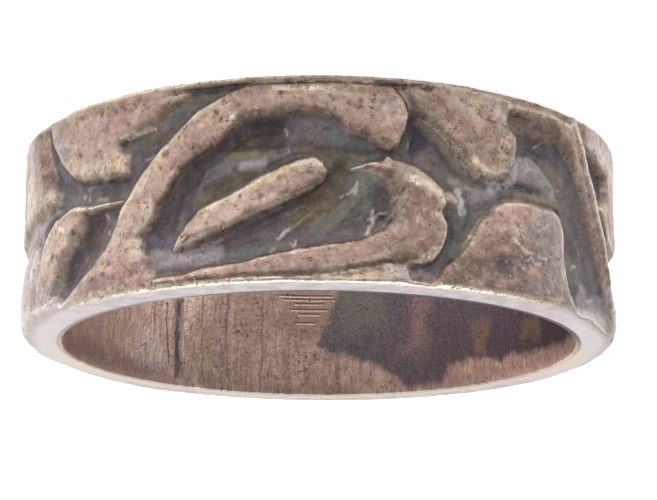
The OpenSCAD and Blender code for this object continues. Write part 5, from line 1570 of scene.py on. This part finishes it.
def silver_material():
    """Worn silver on the raised metal with painted highlight on some edges and painted shade in the creases,
    sulphide in the hollows, filed and stained silver in the bore with painted light by angle.
    """
    material, n, place = fresh_material("oxidised_silver")
    c = COLOURS
    place = n.add("ShaderNodeMapping", inputs={"Vector": place, "Scale": (1 / MM,) * 3}).outputs[0]
    blots = n.noise(place, 1.6)
    patches = n.noise(place, 0.5, 4.0)
    flecks = n.noise(place, 0.18, 3.0, 0.6)
    grain = n.noise(place, 0.045, 3.0, 0.6)
    names = ("raised", "wear", "crease_shade", "rim", "bore", "edge")
    raised, wear, crease_shade, rim, bore, rim_edge = (n.attribute(name)["Fac"] for name in names)
    stain = n.attribute("stain")
    off_bore = n.minus(1.0, bore)

    # Place on the unrolled bore, straight and warped, and streaks that run up it
    x, y, z = n.split(place)
    turn = n.math("ARCTAN2", n.times(x, -1.0), y)
    spot = n.joined(n.times(turn, BORE_R), z)
    stray = n.add("ShaderNodeTexNoise", inputs={
        "Vector": place, "Scale": 1.3, "Detail": 2.0, "Roughness": 0.5,
    }).outputs["Color"]
    stray = n.vector("SUBTRACT", stray, (0.5, 0.5, 0.5))
    warped = n.moved(spot, n.stretched(stray, (1.6, 1.6, 0.0)))
    streaks = n.noise(n.stretched(spot, (7.0, 0.9, 0.0)), 1.0, 4.0, 0.7)

    # Metal and hollows with their stains, and the bore
    metal = n.blend(n.span(blots, 0.4, 0.6), c["sienna"], c["light_tan"])
    dark = n.blend(n.span(blots, 0.42, 0.6), c["violet"], c["slate"])
    colour = n.blend(raised, dark, metal)
    cover = n.times(stain["Alpha"], n.span(patches, 0.28, 0.5, 0.7, 1.0))
    colour = n.blend(cover, colour, stain["Color"])
    inside, file_marks = bore_colour(n, spot, warped, streaks, patches)
    colour = n.blend(bore, colour, inside)
    colour = n.blend(off_bore, colour, mottled(n, place, colour, raised))
    # Painted shade: the creases of the relief are darkened
    colour = n.blend(n.times(crease_shade, 0.22), colour, c["dirt_and_shade"])

    # Worn edges, partly painted highlight, with small bright flecks that are partly chips and partly painted
    # sparkle, and the rims
    worn = n.times(n.span(wear, 0.35, 0.85), n.span(patches, 0.35, 0.6, 0.15, 0.6))
    colour = n.blend(worn, colour, c["worn"])
    # Small bright flecks near the edges: partly worn chips, partly painted sparkle highlights
    chips_and_sparkles = n.noise(n.stretched(place, (1.0, 1.0, 1.7)), 0.11, 3.0, 0.75)
    chips_and_sparkles = n.span(n.plus(chips_and_sparkles, n.times(wear, 0.13)), 0.66, 0.7)
    chips_and_sparkles = n.times(chips_and_sparkles, n.span(n.noise(place, 0.7, 2.0), 0.45, 0.58, 0.1, 0.9), off_bore)
    near_edge = n.span(wear, 0.05, 0.4, 0.25, 1.0)
    colour = n.blend(n.times(chips_and_sparkles, n.times(raised, near_edge)), colour, c["cream"])
    colour = rim_colour(n, place, colour, rim_edge, rim)

    # Dark specks everywhere but on the rims, cracks, and glints on worn edges
    clusters = n.span(n.noise(n.moved(place, (5.0, 5.0, 5.0)), 0.8, 2.0), 0.45, 0.62)
    holes = n.noise(n.moved(place, (9.0, 2.0, 4.0)), 0.12, 3.0, 0.7)
    holes = n.minus(n.minus(holes, n.times(bore, 0.025)), n.times(clusters, 0.06))
    specks = n.times(n.span(holes, 0.3, 0.35, 0.85, 0.0), n.minus(1.0, rim))
    colour = n.blend(specks, colour, c["rust"])
    outside = n.minus(1.0, n.math("MAXIMUM", rim, bore))
    cracks = n.times(thin_lines(n, place, (2.0, 7.0, 1.0), 0.6, 0.02, 0.55), n.times(outside, 0.6))
    colour = n.blend(cracks, colour, c["rust_black"])
    on_edges = n.times(outside, n.span(wear, 0.1, 0.6, 0.0, 0.7))
    glints = n.times(thin_lines(n, place, (8.0, 1.0, 6.0), 0.9, 0.018, 0.57), on_edges)
    colour = n.blend(glints, colour, c["cream"])

    # Fine relief: each part of it, and how much it stands up or is sunk
    height = n.times(flecks, 0.9)
    for part, rise in (
        (grain, 0.1), (specks, -0.4), (cracks, -0.35), (glints, 0.25), (chips_and_sparkles, 0.3), (bore, file_marks),
    ):
        height = n.plus(height, n.times(part, rise))
    bump = n.add("ShaderNodeBump", inputs={
        "Height": height, "Strength": BUMP_STRENGTH, "Distance": BUMP_DEPTH * MM,
    })
    finish_material(n, {
        "Base Color": colour,
        "Roughness": n.minus(n.span(raised, 0.0, 1.0, *ROUGH), n.times(worn, WORN_POLISH)),
        "Metallic": n.span(n.math("MAXIMUM", raised, bore), 0.0, 1.0, *METALLIC),
        "Normal": bump.outputs[0],
    })
    return material


# The floor is a disc. Its radius and the size of its faint blots are in metres; the two tones are linear.
FLOOR_RADIUS = 0.8
FLOOR_CORNERS = 96
FLOOR_BLOTS = 0.02
FLOOR_TONES = ((0.86, 0.86, 0.86, 1), (0.88, 0.88, 0.88, 1))
FLOOR_ROUGH = 0.9
# It glows, which is painted light: it stays near white, fills in the ring's shadow on it and lights the ring
# from below, more on the +X side: metres along X from and to, and the strength there
FLOOR_GLOW = (-0.02, 0.02, 0.55, 0.9)


def floor_material():
    """Pale, matt, faintly blotted, and glowing as painted light."""
    material, n, place = fresh_material("pale_glowing_floor")
    finish_material(n, {
        "Base Color": n.blend(n.noise(place, FLOOR_BLOTS), *FLOOR_TONES),
        "Roughness": FLOOR_ROUGH,
        "Emission Color": (1, 1, 1, 1),
        "Emission Strength": n.span(n.split(place)[0], *FLOOR_GLOW),
    })
    return material


def build_floor():
    """A wide disc under the low rim."""
    turns = [2 * math.pi * k / FLOOR_CORNERS for k in range(FLOOR_CORNERS)]
    ring = [(FLOOR_RADIUS * math.cos(turn), FLOOR_RADIUS * math.sin(turn), 0) for turn in turns]
    mesh = bpy.data.meshes.new("floor")
    mesh.from_pydata(ring, [], [list(range(FLOOR_CORNERS))])
    mesh.materials.append(floor_material())
    floor = bpy.data.objects.new("floor", mesh)
    floor.location.z = cad_low.z
    bpy.context.scene.collection.objects.link(floor)


# Brightness of the surroundings from the front to the back, from low down to overhead, and
# from -X to +X: part of the direction from and to, then the level at both
SKY_BACK = (-0.7, 0.7, 0.75, 1.0)
SKY_UP = (0.15, 0.9, 1.1, 0.7)
SKY_SIDE = (-0.8, 0.6, 0.62, 0.92)
SKY_COLOUR = (1.0, 0.99, 0.98, 1)
# The panel overhead: its place and size in metres, its power in watts, and where it points
PANEL_PLACE = Vector((0.0, 0.1, 0.35))
PANEL_SIZE = 0.3
PANEL_POWER = 1.0
PANEL_AIM = Vector((0, 0, 0.003))


def build_lights():
    """Pale surroundings, dimmer overhead, in front and on the -X side, and one soft panel overhead."""
    world = bpy.data.worlds.new("studio")
    world.use_nodes = True
    n = Nodes(world.node_tree)
    x, y, z = n.split(n.add("ShaderNodeTexCoord").outputs["Generated"])
    background = n.add("ShaderNodeBackground", inputs={
        "Color": SKY_COLOUR,
        "Strength": n.times(n.span(x, *SKY_SIDE), n.times(n.span(y, *SKY_BACK), n.span(z, *SKY_UP))),
    })
    n.add("ShaderNodeOutputWorld", inputs={"Surface": background.outputs[0]})
    bpy.context.scene.world = world

    data = bpy.data.lights.new("overhead", "AREA")
    data.shape = "RECTANGLE"
    data.size = PANEL_SIZE
    data.size_y = PANEL_SIZE
    data.energy = PANEL_POWER
    light = bpy.data.objects.new("overhead", data)
    light.location = PANEL_PLACE
    light.rotation_euler = (PANEL_AIM - PANEL_PLACE).to_track_quat("-Z", "Y").to_euler()
    bpy.context.scene.collection.objects.link(light)


# The camera stands at the photograph's distance and angle. The photograph shows the ring hanging
# under its low rim, so the camera is upside down, with the rest of the roll as small as the photograph's.
CAMERA_DISTANCE = 81.9
CAMERA_ELEVATION = 13.865
CAMERA_AIM = (-0.331, 0.0, 3.170)
CAMERA_ROLL = 0.28055
CAMERA_LENS = 124.673
SENSOR = 36.0
# Nearest and furthest that it sees, in metres
CAMERA_CLIP = (0.001, 10)


def build_camera():
    """A camera at the photograph's place, without depth of field."""
    lean = math.radians(CAMERA_ELEVATION)
    up_from_middle = CAMERA_DISTANCE * math.sin(lean)
    place = Vector((0, -CAMERA_DISTANCE * math.cos(lean), BAND_H / 2 + up_from_middle))
    forward = (Vector(CAMERA_AIM) - place).normalized()
    right = forward.cross(Vector((0, 0, -1))).normalized()
    up = right.cross(forward)
    c, s = math.cos(math.radians(CAMERA_ROLL)), math.sin(math.radians(CAMERA_ROLL))
    matrix = Matrix((right * c + up * s, up * c - right * s, -forward)).transposed().to_4x4()
    matrix.translation = place * MM
    data = bpy.data.cameras.new("camera")
    data.lens = CAMERA_LENS
    data.sensor_width = SENSOR
    data.clip_start, data.clip_end = CAMERA_CLIP
    camera = bpy.data.objects.new("camera", data)
    camera.matrix_world = matrix
    bpy.context.scene.collection.objects.link(camera)
    bpy.context.scene.camera = camera


build_camera()
build_floor()
build_lights()
band = build_band()
band.data.materials.append(silver_material())
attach(band, "root")
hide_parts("band")
bpy.context.scene.view_settings.view_transform = "Standard"
